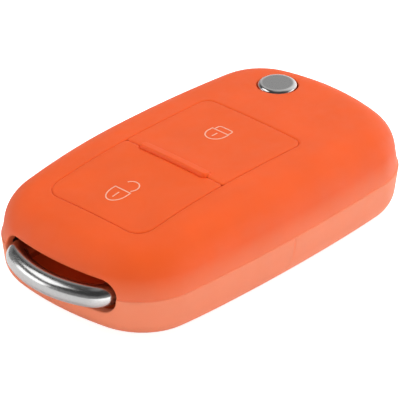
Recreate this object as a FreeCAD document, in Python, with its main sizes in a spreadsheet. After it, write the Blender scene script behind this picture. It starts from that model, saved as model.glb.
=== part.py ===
import FreeCAD, Part
import math
import os
import re

import Sketcher
from FreeCAD import Rotation, Vector

# A silicone cover on a folding car key. Millimetres and degrees.
# +X runs from the key-ring end to the pivot end, +Y to the blade side, +Z up from the back.
# The origin is under the middle of the cover, on the surface that it lies on.

SIZES = {
    # Cover: a rounded pebble, made of eight tangent arcs at the seam
    "cover_length": 70.0,
    "cover_width": 40.1,
    "cover_height": 17.65,
    "cover_wall": 1.4,
    "seam_height": 8.0,
    "seam_step": 0.2,
    "near_end_radius": 50.4,
    "far_end_radius": 41.9,
    "side_radius": 343.0,
    "near_corner_radius": 12.0,
    "far_corner_radius": 11.7,
    "upper_draft": 8.0,
    "lower_draft": 7.0,
    "upper_rim_radius": 6.0,
    "lower_rim_radius": 4.0,
    # Crown of the top and rise of the back towards both ends
    "crown_join": -3.5,
    "crown_far_radius": 567.0,
    "crown_near_radius": 148.0,
    "crown_cross_radius": 234.0,
    "crown_sweep": 20.0,
    "back_flat_half": 15.0,
    "back_near_radius": 230.0,
    "back_far_radius": 392.0,
    # Pads in the top of the cover
    "panel_near_inset": 9.3,
    "panel_button_gap": 12.0,
    "panel_side_inset": 9.28,
    "panel_near_corner": 3.0,
    "panel_far_corner": 1.8,
    "pad_divider_share": 0.496,
    "pad_divider_corner": 0.6,
    "pad_groove": 0.3,
    "pad_lip": 0.5,
    "pad_edge": 0.2,
    "pad_travel": 0.4,
    "ledge_thickness": 0.4,
    "bar_offset": 0.3,
    "bar_left_inset": 3.17,
    "bar_right_inset": 3.77,
    "bar_width": 1.95,
    "bar_rise": 0.55,
    "bar_edge": 0.4,
    # Window for the key-ring bar and slot for the blade
    "loop_window_side_inset": 7.65,
    "loop_window_height": 6.0,
    "loop_window_drop": 0.15,
    "slot_height": 7.0,
    "slot_margin": 1.0,
    "slot_swing_margin": 1.8,
    # Case of the key
    "fit_gap": 0.1,
    "case_floor": 1.2,
    "case_roof": 1.5,
    "end_wall_inset": 9.4,
    "end_wall_thickness": 3.2,
    "end_notch_inset": 0.2,
    "cavity_head_gap": 12.9,
    "cavity_side_wall": 3.55,
    "cavity_corner": 2.0,
    # Rubber keys under the pads
    "key_margin": 2.0,
    "key_corner": 1.5,
    "key_gap": 0.25,
    "key_flange": 0.8,
    "key_flange_thickness": 0.9,
    "key_flange_gap": 0.1,
    "key_stem_radius": 1.6,
    # Circuit board and what stands on it
    "board_clearance": 0.2,
    "board_thickness": 1.0,
    "board_gap": 0.3,
    "board_corner": 1.5,
    "post_radius": 1.1,
    "post_inset": 1.9,
    "switch_width": 4.6,
    "switch_height": 0.9,
    "plunger_radius": 1.1,
    "plunger_rise": 0.5,
    "plunger_depth": 0.2,
    "plunger_gap": 0.1,
    "chip_length": 6.0,
    "chip_width": 5.0,
    "chip_height": 1.2,
    "chip_inset": 6.0,
    "crystal_length": 5.0,
    "crystal_width": 3.2,
    "crystal_height": 1.0,
    "crystal_gap": 1.5,
    "passive_length": 2.0,
    "passive_width": 1.2,
    "passive_height": 0.7,
    "passive_pitch": 2.4,
    # Coin cell and its contacts
    "battery_side_gap": 1.75,
    "battery_height": 3.2,
    "battery_shift": 0.6,
    "battery_edge": 0.4,
    "contact_sheet": 0.3,
    "contact_width": 4.0,
    "contact_offset": 5.0,
    "contact_reach": 1.2,
    # Transponder capsule on the board
    "capsule_radius": 1.05,
    "capsule_length": 12.0,
    # Blade and its turning head
    "pivot_inset": 10.5,
    "blade_thickness": 2.6,
    "blade_width": 9.0,
    "blade_side_inset": 2.65,
    "blade_offset": 6.95,
    "blade_tip_inset": 14.8,
    "blade_tip_width": 3.6,
    "blade_tip_length": 3.0,
    "blade_gap": 0.5,
    "blade_wall": 0.9,
    "tang_width": 4.2,
    "tang_reach": 1.0,
    "track_width": 2.4,
    "track_depth": 0.6,
    "track_margin": 4.0,
    "head_radius": 7.4,
    "head_height": 6.2,
    "head_arm": 8.5,
    "head_back": 2.0,
    "head_outer_corner": 4.0,
    "head_gap": 0.3,
    "head_floor": 1.0,
    "head_recess_radius": 4.5,
    "swing_start": 125.0,
    "swing_end": -107.0,
    "roll_pin_radius": 0.8,
    "roll_pin_setback": 4.5,
    "pin_fit": 0.02,
    # Pivot pin, its screw and the release button with its spring
    "pivot_radius": 2.65,
    "pivot_fit": 0.05,
    "pivot_seat": 1.6,
    "collar_radius": 4.2,
    "collar_thickness": 0.8,
    "pivot_boss_radius": 2.4,
    "pivot_boss_height": 2.25,
    "screw_radius": 0.9,
    "screw_sink": 0.4,
    "screw_head_radius": 1.9,
    "screw_head_height": 0.9,
    "screw_reach": 2.2,
    "screw_fit": 0.1,
    "button_radius": 3.35,
    "button_gap": 0.1,
    "button_cover_gap": 0.3,
    "button_proud": 0.28,
    "button_edge": 0.7,
    "button_travel": 1.5,
    "button_flange_radius": 4.2,
    "button_flange_thickness": 1.0,
    "button_flange_gap": 0.15,
    "button_roof": 1.3,
    "stem_radius": 1.5,
    "stem_fit": 0.1,
    "stem_overlap": 0.8,
    "spring_radius": 3.35,
    "spring_wire": 0.6,
    "spring_turns": 3,
    "spring_gap": 0.05,
    # Key-ring bar: a bowed loop with both legs in the end wall of the case
    "loop_radius": 1.9,
    "loop_proud": 1.3,
    "loop_bow_radius": 18.0,
    "loop_bend_radius": 3.0,
    "loop_window_margin": 2.7,
    "loop_drop": 0.3,
    "loop_seat": 3.0,
    # How far cutting shapes run past what they cut, and how much of a round end is arc
    "overrun": 5.0,
    "round_end_share": 0.98,
}

# Sizes that follow from the ones above
DERIVED = {
    "pivot_x": "cover_length / 2 - pivot_inset",
    "pivot_y": "blade_outer - blade_width / 2 - blade_offset",
    "panel_near": "panel_near_inset - cover_length / 2",
    "panel_far": "pivot_x - panel_button_gap",
    "panel_half_width": "cover_width / 2 - panel_side_inset",
    "pad_divider": "panel_near + (panel_far - panel_near) * pad_divider_share",
    "unlock_far": "pad_divider - pad_groove / 2",
    "lock_near": "pad_divider + pad_groove / 2",
    "lock_x": "(lock_near + panel_far) / 2",
    "unlock_x": "(panel_near + unlock_far) / 2",
    "bar_x": "pad_divider + bar_offset",
    "bar_left": "panel_half_width - bar_left_inset",
    "bar_right": "bar_right_inset - panel_half_width",
    "loop_window_half_width": "cover_width / 2 - loop_window_side_inset",
    "loop_window_level": "seam_height - loop_window_drop",
    "case_inset": "cover_wall + fit_gap",
    "end_wall": "end_wall_inset - cover_length / 2",
    "end_notch_half_width": "loop_window_half_width - end_notch_inset",
    "roof_depth": "case_inset + case_roof",
    "cavity_near": "end_wall + end_wall_thickness",
    "cavity_far": "pivot_x - cavity_head_gap",
    "cavity_right": "cavity_side_wall - cover_width / 2",
    "cavity_left": "blade_inner - blade_gap - blade_wall",
    "cavity_middle": "(cavity_near + cavity_far) / 2",
    "cavity_floor": "case_inset + case_floor",
    "key_half_width": "panel_half_width - key_margin",
    "key_flange_depth": "roof_depth + key_flange_gap",
    "key_flange_floor": "key_flange_depth + key_flange_thickness",
    "cell_level": "cavity_floor + contact_sheet",
    "cell_top": "cell_level + battery_height",
    "battery_radius": "(cavity_left - cavity_right) / 2 - battery_side_gap",
    "battery_x": "cavity_middle - battery_shift",
    "battery_y": "(cavity_left + cavity_right) / 2",
    "contact_end": "battery_x + battery_radius + contact_reach",
    "board_level": "cell_top + contact_sheet + board_clearance",
    "board_top": "board_level + board_thickness",
    "switch_top": "board_top + switch_height",
    "plunger_top": "switch_top + plunger_rise",
    "chip_y": "cavity_right + chip_inset",
    "capsule_x": "(lock_x + unlock_x) / 2",
    "capsule_y": "cavity_left - board_gap - capsule_radius",
    "blade_level": "seam_height",
    "blade_tip": "blade_tip_inset - cover_length / 2",
    "blade_outer": "cover_width / 2 - blade_side_inset",
    "blade_inner": "blade_outer - blade_width",
    "blade_shoulder": "pivot_x - head_arm",
    "swing_reach": "blade_offset + blade_width / 2",
    "swing_radius": "sqrt(head_arm ^ 2 + swing_reach ^ 2) + head_gap",
    "head_level": "blade_level - head_height / 2",
    "head_top": "blade_level + head_height / 2",
    "chamber_level": "head_level - head_gap",
    "chamber_top": "head_top + head_gap",
    "pivot_foot": "chamber_level - pivot_seat",
    "screw_level": "case_inset + screw_sink",
    "screw_shoulder": "screw_level + screw_head_height",
    "collar_level": "head_level + head_floor + pivot_fit",
    "collar_top": "collar_level + collar_thickness",
    "boss_top": "collar_top + pivot_boss_height",
    "button_crown": "cover_height - (pivot_x - crown_join) ^ 2 / (2 * crown_far_radius)",
    "button_top": "button_crown + button_proud",
    "flange_roof": "button_crown - case_inset - button_roof",
    "flange_top": "flange_roof - button_flange_gap",
    "flange_level": "flange_top - button_flange_thickness",
    "stem_level": "boss_top - stem_overlap",
    "loop_nose": "-cover_length / 2 - loop_proud",
    "loop_half_span": "loop_window_half_width - loop_window_margin",
    "loop_level": "seam_height - loop_drop",
    "loop_leg_end": "end_wall + loop_seat",
}

doc = FreeCAD.newDocument("KeyFobCover")
sheet = doc.addObject("Spreadsheet::Sheet", "dims")
for row, (alias, size) in enumerate(SIZES.items(), start=1):
    sheet.set(f"A{row}", alias)
    sheet.set(f"B{row}", str(size))
    sheet.setAlias(f"B{row}", alias)
doc.recompute()


def spell(formula):
    """A formula in the words above, written out in cells of the sheet."""
    def word(match):
        name = match.group(0)
        if name in DERIVED:
            return f"({spell(DERIVED[name])})"
        return f"dims.{name}" if name in SIZES else name
    return re.sub(r"[a-z_]+", word, formula)


def number(formula):
    return float(sheet.evalExpression(spell(formula)))


def bind(piece, place, formula):
    piece.setExpression(place, spell(formula))


# Sketches

def new_body(label):
    body = doc.addObject("PartDesign::Body", label)
    body.Label = label
    return body


def new_sketch(body, name, role, level="0"):
    sketch = body.newObject("Sketcher::SketchObject", name)
    support = next(plane for plane in body.Origin.OriginFeatures if plane.Role == role)
    sketch.AttachmentSupport = [(support, "")]
    sketch.MapMode = "FlatFace"
    bind(sketch, "AttachmentOffset.Base.z", level)
    return sketch


def fix(sketch, kind, *places, to):
    index = sketch.addConstraint(Sketcher.Constraint(kind, *places, number(to)))
    bind(sketch, f"Constraints[{index}]", to)


def place_point(sketch, item, end, x, y):
    fix(sketch, "DistanceX", -1, 1, item, end, to=x)
    fix(sketch, "DistanceY", -1, 1, item, end, to=y)


def add_line(sketch, start, end):
    return sketch.addGeometry(Part.LineSegment(start, end), False)


def add_arc(sketch, centre, radius, start, end):
    circle = Part.Circle(centre, Vector(0, 0, 1), radius)
    return sketch.addGeometry(Part.ArcOfCircle(circle, start, end), False)


def join(sketch, items, kind):
    """Each item's end meets the next one's start, all the way round."""
    for item, following in zip(items, items[1:] + items[:1]):
        sketch.addConstraint(Sketcher.Constraint(kind, item, 2, following, 1))


def polygon(sketch, corners):
    points = [Vector(number(x), number(y), 0) for x, y in corners]
    sides = [add_line(sketch, a, b) for a, b in zip(points, points[1:] + points[:1])]
    join(sketch, sides, "Coincident")
    for side, (x, y) in zip(sides, corners):
        place_point(sketch, side, 1, x, y)


def circle(sketch, x, y, radius):
    centre = Vector(number(x), number(y), 0)
    item = sketch.addGeometry(Part.Circle(centre, Vector(0, 0, 1), number(radius)), False)
    fix(sketch, "Radius", item, to=radius)
    place_point(sketch, item, 3, x, y)


def rounded_rectangle(sketch, near, far, right, left, near_radius, far_radius):
    x0, x1, y0, y1 = (number(side) for side in (near, far, right, left))
    r0, r1 = number(near_radius), number(far_radius)
    quarter = math.pi / 2
    right_side = add_line(sketch, Vector(x0 + r0, y0, 0), Vector(x1 - r1, y0, 0))
    far_right = add_arc(sketch, Vector(x1 - r1, y0 + r1, 0), r1, -quarter, 0)
    far_side = add_line(sketch, Vector(x1, y0 + r1, 0), Vector(x1, y1 - r1, 0))
    far_left = add_arc(sketch, Vector(x1 - r1, y1 - r1, 0), r1, 0, quarter)
    left_side = add_line(sketch, Vector(x1 - r1, y1, 0), Vector(x0 + r0, y1, 0))
    near_left = add_arc(sketch, Vector(x0 + r0, y1 - r0, 0), r0, quarter, 2 * quarter)
    near_side = add_line(sketch, Vector(x0, y1 - r0, 0), Vector(x0, y0 + r0, 0))
    near_right = add_arc(sketch, Vector(x0 + r0, y0 + r0, 0), r0, 2 * quarter, 3 * quarter)
    join(sketch, [right_side, far_right, far_side, far_left, left_side, near_left, near_side, near_right],
         "Tangent")
    for side in (right_side, left_side):
        sketch.addConstraint(Sketcher.Constraint("Horizontal", side))
    for side in (far_side, near_side):
        sketch.addConstraint(Sketcher.Constraint("Vertical", side))
    for corner, radius in ((far_right, far_radius), (far_left, far_radius),
                           (near_left, near_radius), (near_right, near_radius)):
        fix(sketch, "Radius", corner, to=radius)
    fix(sketch, "DistanceX", -1, 1, near_side, 1, to=near)
    fix(sketch, "DistanceX", -1, 1, far_side, 1, to=far)
    fix(sketch, "DistanceY", -1, 1, right_side, 1, to=right)
    fix(sketch, "DistanceY", -1, 1, left_side, 1, to=left)


def tangent_centre(first, first_radius, second, second_radius):
    """The centre of a corner arc that lies inside two larger circles, on the +Y side."""
    line = second.sub(first)
    along = (first_radius ** 2 - second_radius ** 2 + line.Length ** 2) / (2 * line.Length)
    across = math.sqrt(first_radius ** 2 - along ** 2)
    unit = Vector(line).normalize()
    sideways = Vector(-unit.y, unit.x, 0)
    crossings = [first + unit * along + sideways * step for step in (across, -across)]
    return max(crossings, key=lambda point: point.y)


def direction(centre, point):
    return math.atan2(point.y - centre.y, point.x - centre.x)


def cover_outline(sketch, inset):
    """The cover's plan at the seam, moved inwards by the inset."""
    centres = {
        "far": ("cover_length / 2 - far_end_radius", "0"),
        "left": ("0", "cover_width / 2 - side_radius"),
        "near": ("near_end_radius - cover_length / 2", "0"),
        "right": ("0", "side_radius - cover_width / 2"),
    }
    far, left, near, right = (Vector(number(x), number(y), 0) for x, y in centres.values())
    far_r, side_r, near_r = number("far_end_radius"), number("side_radius"), number("near_end_radius")
    far_corner, near_corner = number("far_corner_radius"), number("near_corner_radius")
    far_left = tangent_centre(far, far_r - far_corner, left, side_r - far_corner)
    near_left = tangent_centre(near, near_r - near_corner, left, side_r - near_corner)
    far_right, near_right = Vector(far_left.x, -far_left.y, 0), Vector(near_left.x, -near_left.y, 0)
    ring = [(far, "far_end_radius"), (far_left, "far_corner_radius"), (left, "side_radius"),
            (near_left, "near_corner_radius"), (near, "near_end_radius"), (near_right, "near_corner_radius"),
            (right, "side_radius"), (far_right, "far_corner_radius")]
    turns = [direction(far, far_left), direction(left, far_left), direction(left, near_left),
             direction(near, near_left)]
    turns += [2 * math.pi - turn for turn in reversed(turns)]
    starts = [turns[-1] - 2 * math.pi] + turns[:-1]
    arcs = [add_arc(sketch, centre, number(f"{radius} - ({inset})"), start, turn)
            for (centre, radius), start, turn in zip(ring, starts, turns)]
    join(sketch, arcs, "Tangent")
    for arc, (centre, radius) in zip(arcs, ring):
        fix(sketch, "Radius", arc, to=f"{radius} - ({inset})")
    for arc, (x, y) in zip(arcs[::2], centres.values()):
        place_point(sketch, arc, 3, x, y)


def crown_arcs(sketch, depth, near, far):
    """The lengthwise crown, lowered by a depth: two tangent arcs from the far end to the near end."""
    join_x, top = number("crown_join"), number("cover_height")
    far_r, near_r = number("crown_far_radius"), number("crown_near_radius")
    far_arc_r, near_arc_r = number(f"crown_far_radius - ({depth})"), number(f"crown_near_radius - ({depth})")
    summit = math.pi / 2
    far_turn = math.acos((number(far) - join_x) / far_arc_r)
    near_turn = math.acos((number(near) - join_x) / near_arc_r)
    far_arc = add_arc(sketch, Vector(join_x, top - far_r, 0), far_arc_r, far_turn, summit)
    near_arc = add_arc(sketch, Vector(join_x, top - near_r, 0), near_arc_r, summit, near_turn)
    sketch.addConstraint(Sketcher.Constraint("Tangent", far_arc, 2, near_arc, 1))
    fix(sketch, "Radius", far_arc, to=f"crown_far_radius - ({depth})")
    fix(sketch, "Radius", near_arc, to=f"crown_near_radius - ({depth})")
    place_point(sketch, far_arc, 3, "crown_join", "cover_height - crown_far_radius")
    fix(sketch, "DistanceX", -1, 1, far_arc, 2, to="crown_join")
    return far_arc, near_arc


def crown_band(sketch, upper, lower, near, far):
    """The region between two lowered crowns, with the axis that it turns about."""
    far_low, near_low = crown_arcs(sketch, lower, near, far)
    far_high, near_high = crown_arcs(sketch, upper, near, far)
    ends = [(far_low, 1, far_high, 1, far), (near_low, 2, near_high, 2, near)]
    for low, low_end, high, high_end, level in ends:
        start = sketch.Geometry[low].StartPoint if low_end == 1 else sketch.Geometry[low].EndPoint
        end = sketch.Geometry[high].StartPoint if high_end == 1 else sketch.Geometry[high].EndPoint
        side = add_line(sketch, start, end)
        sketch.addConstraint(Sketcher.Constraint("Coincident", side, 1, low, low_end))
        sketch.addConstraint(Sketcher.Constraint("Coincident", side, 2, high, high_end))
        sketch.addConstraint(Sketcher.Constraint("Vertical", side))
        fix(sketch, "DistanceX", -1, 1, side, 1, to=level)
    axis_level = "cover_height - crown_cross_radius"
    start, end = (Vector(number(x), number(axis_level), 0) for x in (near, far))
    axis = sketch.addGeometry(Part.LineSegment(start, end), True)
    place_point(sketch, axis, 1, near, axis_level)
    place_point(sketch, axis, 2, far, axis_level)


def back_rise(sketch, side, radius, inset):
    """The region under the back where it rises towards one end; side is 1 at the far end, -1 at the near."""
    flat, outer = f"{side} * back_flat_half", f"{side} * (cover_length / 2 + overrun)"
    arc_r = number(f"{radius} - ({inset})")
    centre = Vector(number(flat), number(radius), 0)
    lowest = -math.pi / 2
    turn = lowest + side * math.asin(abs(number(outer) - centre.x) / arc_r)
    arc = add_arc(sketch, centre, arc_r, min(lowest, turn), max(lowest, turn))
    flat_end, outer_end = (1, 2) if side > 0 else (2, 1)
    points = [sketch.getPoint(arc, outer_end), Vector(number(outer), -number("overrun"), 0),
              Vector(number(flat), -number("overrun"), 0), sketch.getPoint(arc, flat_end)]
    wall, floor, step = (add_line(sketch, a, b) for a, b in zip(points, points[1:]))
    fix(sketch, "Radius", arc, to=f"{radius} - ({inset})")
    place_point(sketch, arc, 3, flat, radius)
    sketch.addConstraint(Sketcher.Constraint("Coincident", arc, outer_end, wall, 1))
    sketch.addConstraint(Sketcher.Constraint("Coincident", wall, 2, floor, 1))
    sketch.addConstraint(Sketcher.Constraint("Coincident", floor, 2, step, 1))
    sketch.addConstraint(Sketcher.Constraint("Coincident", step, 2, arc, flat_end))
    sketch.addConstraint(Sketcher.Constraint("Vertical", wall))
    sketch.addConstraint(Sketcher.Constraint("Vertical", step))
    place_point(sketch, wall, 2, outer, "-overrun")
    place_point(sketch, floor, 2, flat, "-overrun")


# Features

def pad(body, sketch, length, draft="0", downwards=False):
    feature = body.newObject("PartDesign::Pad", f"{sketch.Name}_pad")
    feature.Profile = sketch
    feature.Reversed = downwards
    bind(feature, "Length", length)
    bind(feature, "TaperAngle", f"-({draft})")
    doc.recompute()
    return feature


def pocket(body, sketch, depth, reverse=False, both_ways=False):
    before = body.Shape.Volume
    feature = body.newObject("PartDesign::Pocket", f"{sketch.Name}_pocket")
    feature.Profile = sketch
    feature.Reversed = reverse
    feature.Midplane = both_ways
    bind(feature, "Length", depth)
    doc.recompute()
    if body.Shape.Volume >= before:
        raise RuntimeError(f"{feature.Label} of {body.Label} cuts nothing")
    return feature


def fillet(body, edges, radius):
    base = body.Tip
    feature = body.newObject("PartDesign::Fillet", f"{body.Name}_fillet")
    feature.Base = (base, edges)
    bind(feature, "Radius", radius)
    doc.recompute()
    return feature


def edge_names(shape, wanted):
    return [f"Edge{index}" for index, edge in enumerate(shape.Edges, start=1) if wanted(edge)]


def upright_edges(shape, wanted=lambda point: True):
    """Names of the straight upright edges whose place is wanted."""
    def upright(edge):
        tangent = edge.tangentAt(edge.FirstParameter)
        return abs(tangent.z) > abs(tangent.x) + abs(tangent.y) and wanted(edge.CenterOfMass)
    return edge_names(shape, upright)


def revolved(label, corners, x="0", y="0"):
    """A turned piece: a half profile of (radius, height) corners about an upright axis."""
    body = new_body(label)
    sketch = new_sketch(body, f"{label}_profile", "XZ_Plane")
    polygon(sketch, corners)
    feature = body.newObject("PartDesign::Revolution", f"{label}_turn")
    feature.Profile = sketch
    feature.ReferenceAxis = (sketch, ["V_Axis"])
    bind(body, "Placement.Base.x", x)
    bind(body, "Placement.Base.y", y)
    doc.recompute()
    return body


def plate(label, near, far, right, left, corners, level, height):
    """A flat block with rounded corners; corners gives the near and the far radius."""
    body = new_body(label)
    sketch = new_sketch(body, f"{label}_plan", "XY_Plane", level)
    rounded_rectangle(sketch, near, far, right, left, *corners)
    pad(body, sketch, height)
    return body


def box(label, near, far, right, left, low, high):
    piece = doc.addObject("Part::Box", label)
    piece.Label = label
    bind(piece, "Length", f"{far} - ({near})")
    bind(piece, "Width", f"{left} - ({right})")
    bind(piece, "Height", f"{high} - ({low})")
    for axis, start in zip("xyz", (near, right, low)):
        bind(piece, f"Placement.Base.{axis}", start)
    return piece


def cylinder(label, x, y, radius, low, high):
    piece = doc.addObject("Part::Cylinder", label)
    piece.Label = label
    bind(piece, "Radius", radius)
    bind(piece, "Height", f"{high} - ({low})")
    for axis, start in zip("xyz", (x, y, low)):
        bind(piece, f"Placement.Base.{axis}", start)
    return piece


def lying_cylinder(label, x, y, z, radius, length):
    """A cylinder that lies along X from its start point."""
    piece = cylinder(label, x, y, radius, z, f"{z} + ({length})")
    piece.Placement.Rotation = Rotation(Vector(0, 1, 0), 90)
    return piece


def combined(kind, label, base, tools):
    for step, tool in enumerate(tools, start=1):
        name = label if step == len(tools) else f"{label}_{kind.lower()}_{step}"
        result = doc.addObject(f"Part::{kind}", name)
        result.Base = base
        result.Tool = tool
        result.Label = result.Name
        base = result
    return base


def cut(label, base, *tools):
    return combined("Cut", label, base, tools)


def common(label, base, *tools):
    return combined("Common", label, base, tools)


def fuse(label, base, *tools):
    return combined("Fuse", label, base, tools)


def soften(label, base, radius, wanted):
    """Round the edges of a piece that meet its crowned top."""
    doc.recompute()

    def on_top(edge):
        kinds = {type(face.Surface).__name__ for face in base.Shape.ancestorsOfType(edge, Part.Face)}
        side = kinds - {"SurfaceOfRevolution"}
        return len(kinds) == 2 and side < {"Plane", "Cylinder"} and wanted(edge.CenterOfMass)

    result = doc.addObject("Part::Fillet", label)
    result.Base = base
    result.Edges = [(int(name.removeprefix("Edge")), number(radius), number(radius))
                    for name in edge_names(base.Shape, on_top)]
    return result


def depth_under_crown(point):
    """How far a point lies under the cover's crown, near enough to tell its two skins apart."""
    run = number("crown_near_radius") if point.x < number("crown_join") else number("crown_far_radius")
    fall = (point.x - number("crown_join")) ** 2 / (2 * run)
    return number("cover_height") - fall - point.y ** 2 / (2 * number("crown_cross_radius")) - point.z


def pebble(label, inset, step="0"):
    """The cover's rounded form, drawn in by an inset all round; step sets the upper wall further in."""
    body = new_body(label)
    upper = new_sketch(body, f"{label}_upper", "XY_Plane", "seam_height")
    cover_outline(upper, f"{inset} + {step}")
    pad(body, upper, "cover_height - seam_height + overrun", "upper_draft")
    lower = new_sketch(body, f"{label}_lower", "XY_Plane", "seam_height")
    cover_outline(lower, inset)
    pad(body, lower, f"seam_height - ({inset})", "lower_draft", downwards=True)
    before = body.Shape.Volume
    crown = new_sketch(body, f"{label}_crown", "XZ_Plane")
    crown_band(crown, "-(cover_height - seam_height)", inset, "-cover_length / 2 - overrun",
               "cover_length / 2 + overrun")
    groove = body.newObject("PartDesign::Groove", f"{label}_crown_cut")
    groove.Profile = crown
    groove.ReferenceAxis = (crown, ["Axis0"])
    groove.Midplane = True
    bind(groove, "Angle", "crown_sweep")
    doc.recompute()
    if body.Shape.Volume >= before:
        raise RuntimeError(f"the crown of {label} cuts nothing")
    back = new_sketch(body, f"{label}_back", "XZ_Plane")
    back_rise(back, 1, "back_far_radius", inset)
    back_rise(back, -1, "back_near_radius", inset)
    pocket(body, back, "cover_width + overrun", both_ways=True)

    def rim(faces):
        def on_rim(edge):
            kinds = {type(face.Surface).__name__ for face in body.Shape.ancestorsOfType(edge, Part.Face)}
            return len(kinds) == 2 and "Cone" in kinds and kinds & faces
        return on_rim

    def upper_rim(edge):
        return edge.BoundBox.ZMin > number("seam_height") and rim({"SurfaceOfRevolution", "Toroid"})(edge)

    def lower_rim(edge):
        return edge.BoundBox.ZMax < number("seam_height") and rim({"Plane", "Cylinder"})(edge)

    fillet(body, edge_names(body.Shape, upper_rim), f"upper_rim_radius - ({inset})")
    fillet(body, edge_names(body.Shape, lower_rim), f"lower_rim_radius - ({inset})")
    return body


def crown_slab(label, upper, lower):
    """A slice of the top between two depths under the crown, over the whole panel."""
    body = new_body(label)
    sketch = new_sketch(body, f"{label}_section", "XZ_Plane")
    crown_band(sketch, upper, lower, "panel_near - overrun", "panel_far + overrun")
    feature = body.newObject("PartDesign::Revolution", f"{label}_turn")
    feature.Profile = sketch
    feature.ReferenceAxis = (sketch, ["Axis0"])
    feature.Midplane = True
    bind(feature, "Angle", "crown_sweep")
    doc.recompute()
    return body


# The silicone cover

cover_outer = pebble("cover_outer", "0", "seam_step")
cover_inner = pebble("cover_inner", "cover_wall")
case_outer = pebble("case_outer", "case_inset")

PAD_FLOOR, PAD_ROOF = "seam_height", "cover_height + overrun - seam_height"


def key_plate(label, near, far, outset):
    """A block over one key, outset from the key's window."""
    return plate(label, f"{near} + key_margin - ({outset})", f"{far} - key_margin + ({outset})",
                 f"-key_half_width - ({outset})", f"key_half_width + ({outset})",
                 (f"key_corner + ({outset})",) * 2, PAD_FLOOR, PAD_ROOF)


KEYS = {"lock": ("lock_near", "panel_far"), "unlock": ("panel_near", "unlock_far")}
key_windows = {name: key_plate(f"{name}_window", near, far, "0") for name, (near, far) in KEYS.items()}

panel_recess = common(
    "panel_recess",
    plate("panel_plan", "panel_near - pad_groove", "panel_far + pad_groove", "-panel_half_width - pad_groove",
          "panel_half_width + pad_groove",
          ("panel_near_corner + pad_groove", "panel_far_corner + pad_groove"), PAD_FLOOR, PAD_ROOF),
    crown_slab("recess_slab", "-overrun", "cover_wall - ledge_thickness"))
button_opening = cylinder("button_opening", "pivot_x", "pivot_y", "button_radius + button_cover_gap",
                          "seam_height", "cover_height + overrun")

loop_window = new_body("loop_window")
loop_window_face = new_sketch(loop_window, "loop_window_face", "YZ_Plane", "-cover_length / 2 - overrun")
rounded_rectangle(loop_window_face, "-loop_window_half_width", "loop_window_half_width",
                  "loop_window_level - loop_window_height / 2", "loop_window_level + loop_window_height / 2",
                  *["loop_window_height / 2 * round_end_share"] * 2)
pad(loop_window, loop_window_face, "cover_length / 2 + overrun + end_wall - fit_gap")

SLOT_LOW, SLOT_HIGH = "blade_level - slot_height / 2", "blade_level + slot_height / 2"
side_slot = box("side_slot", "blade_tip - slot_margin", "cover_length / 2 + overrun", "blade_inner",
                "cover_width / 2 + overrun", SLOT_LOW, SLOT_HIGH)
end_slot = box("end_slot", "pivot_x", "cover_length / 2 + overrun",
               "pivot_y - swing_reach - slot_swing_margin", "blade_outer", SLOT_LOW, SLOT_HIGH)
sharp_cover = cut("sharp_cover", cover_outer, cover_inner, panel_recess, *key_windows.values(),
                  button_opening, loop_window, side_slot, end_slot)


def on_outer_skin(point):
    return depth_under_crown(point) < number("cover_wall / 2")


cover_shell = soften("cover_shell", sharp_cover, "pad_edge", on_outer_skin)

# Pads: a thin lip over the ledge and a thick middle that reaches the rubber key

lip_slab = crown_slab("lip_slab", "0", "pad_lip")
bar_slab = crown_slab("bar_slab", "-bar_rise", "pad_lip")


def bar_plan(label, outset):
    half_width = f"bar_width / 2 + ({outset})"
    radius = f"({half_width}) * round_end_share"
    return plate(label, f"bar_x - ({half_width})", f"bar_x + ({half_width})", f"bar_right - ({outset})",
                 f"bar_left + ({outset})", (radius, radius), PAD_FLOOR, PAD_ROOF)


def on_bar_top(point):
    return depth_under_crown(point) < 0


raised_bar = soften("raised_bar", common("sharp_bar", bar_plan("bar_plan", "0"), bar_slab), "bar_edge",
                    on_bar_top)
bar_notch = bar_plan("bar_notch", "pad_groove")


def pad_skin(name, near, far, corners):
    """One pad's lip and thick middle."""
    plan = plate(f"{name}_plan", near, far, "-panel_half_width", "panel_half_width", corners,
                 PAD_FLOOR, PAD_ROOF)
    lip = common(f"{name}_lip", plan, lip_slab)
    middle = cut(f"{name}_middle", common(f"{name}_core", key_plate(f"{name}_boss", near, far, "-key_gap"),
                                          cover_outer), cover_inner)
    return lip, middle


lock_lip, lock_middle = pad_skin("lock_pad", *KEYS["lock"], ("pad_divider_corner", "panel_far_corner"))
lock_pad = fuse("lock_pad", lock_lip, lock_middle, raised_bar)
unlock_lip, unlock_middle = pad_skin("unlock_pad", *KEYS["unlock"],
                                     ("panel_near_corner", "pad_divider_corner"))
unlock_pad = fuse("unlock_pad", cut("unlock_pad_notched", unlock_lip, bar_notch), unlock_middle)

# The case of the key, split at the seam

end_notch = box("end_notch", "-cover_length / 2 - overrun", "end_wall", "-end_notch_half_width",
                "end_notch_half_width", "-overrun", "cover_height + overrun")
cavity = common("cavity", crown_slab("roof_space", "roof_depth", "cover_height"),
                plate("cavity_plan", "cavity_near", "cavity_far", "cavity_right", "cavity_left",
                      ("cavity_corner", "cavity_corner"), "cavity_floor", "cover_height"))
key_chamber = common(
    "key_chamber", crown_slab("chamber_slab", "roof_depth", "key_flange_floor + pad_travel + key_flange_gap"),
    plate("chamber_plan", "panel_near + key_margin - key_flange - key_gap",
          "panel_far - key_margin + key_flange + key_gap", "-key_half_width - key_flange - key_gap",
          "cavity_left", ("key_corner", "key_corner"), "seam_height", "cover_height"))
blade_groove = box("blade_groove", "blade_tip - blade_gap", "pivot_x", "blade_inner - blade_gap",
                   "cover_width / 2 + overrun", "blade_level - blade_thickness / 2 - blade_gap",
                   "blade_level + blade_thickness / 2 + blade_gap")
head_chamber = cylinder("head_chamber", "pivot_x", "pivot_y", "head_radius + head_gap",
                        "chamber_level", "chamber_top")
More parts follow.
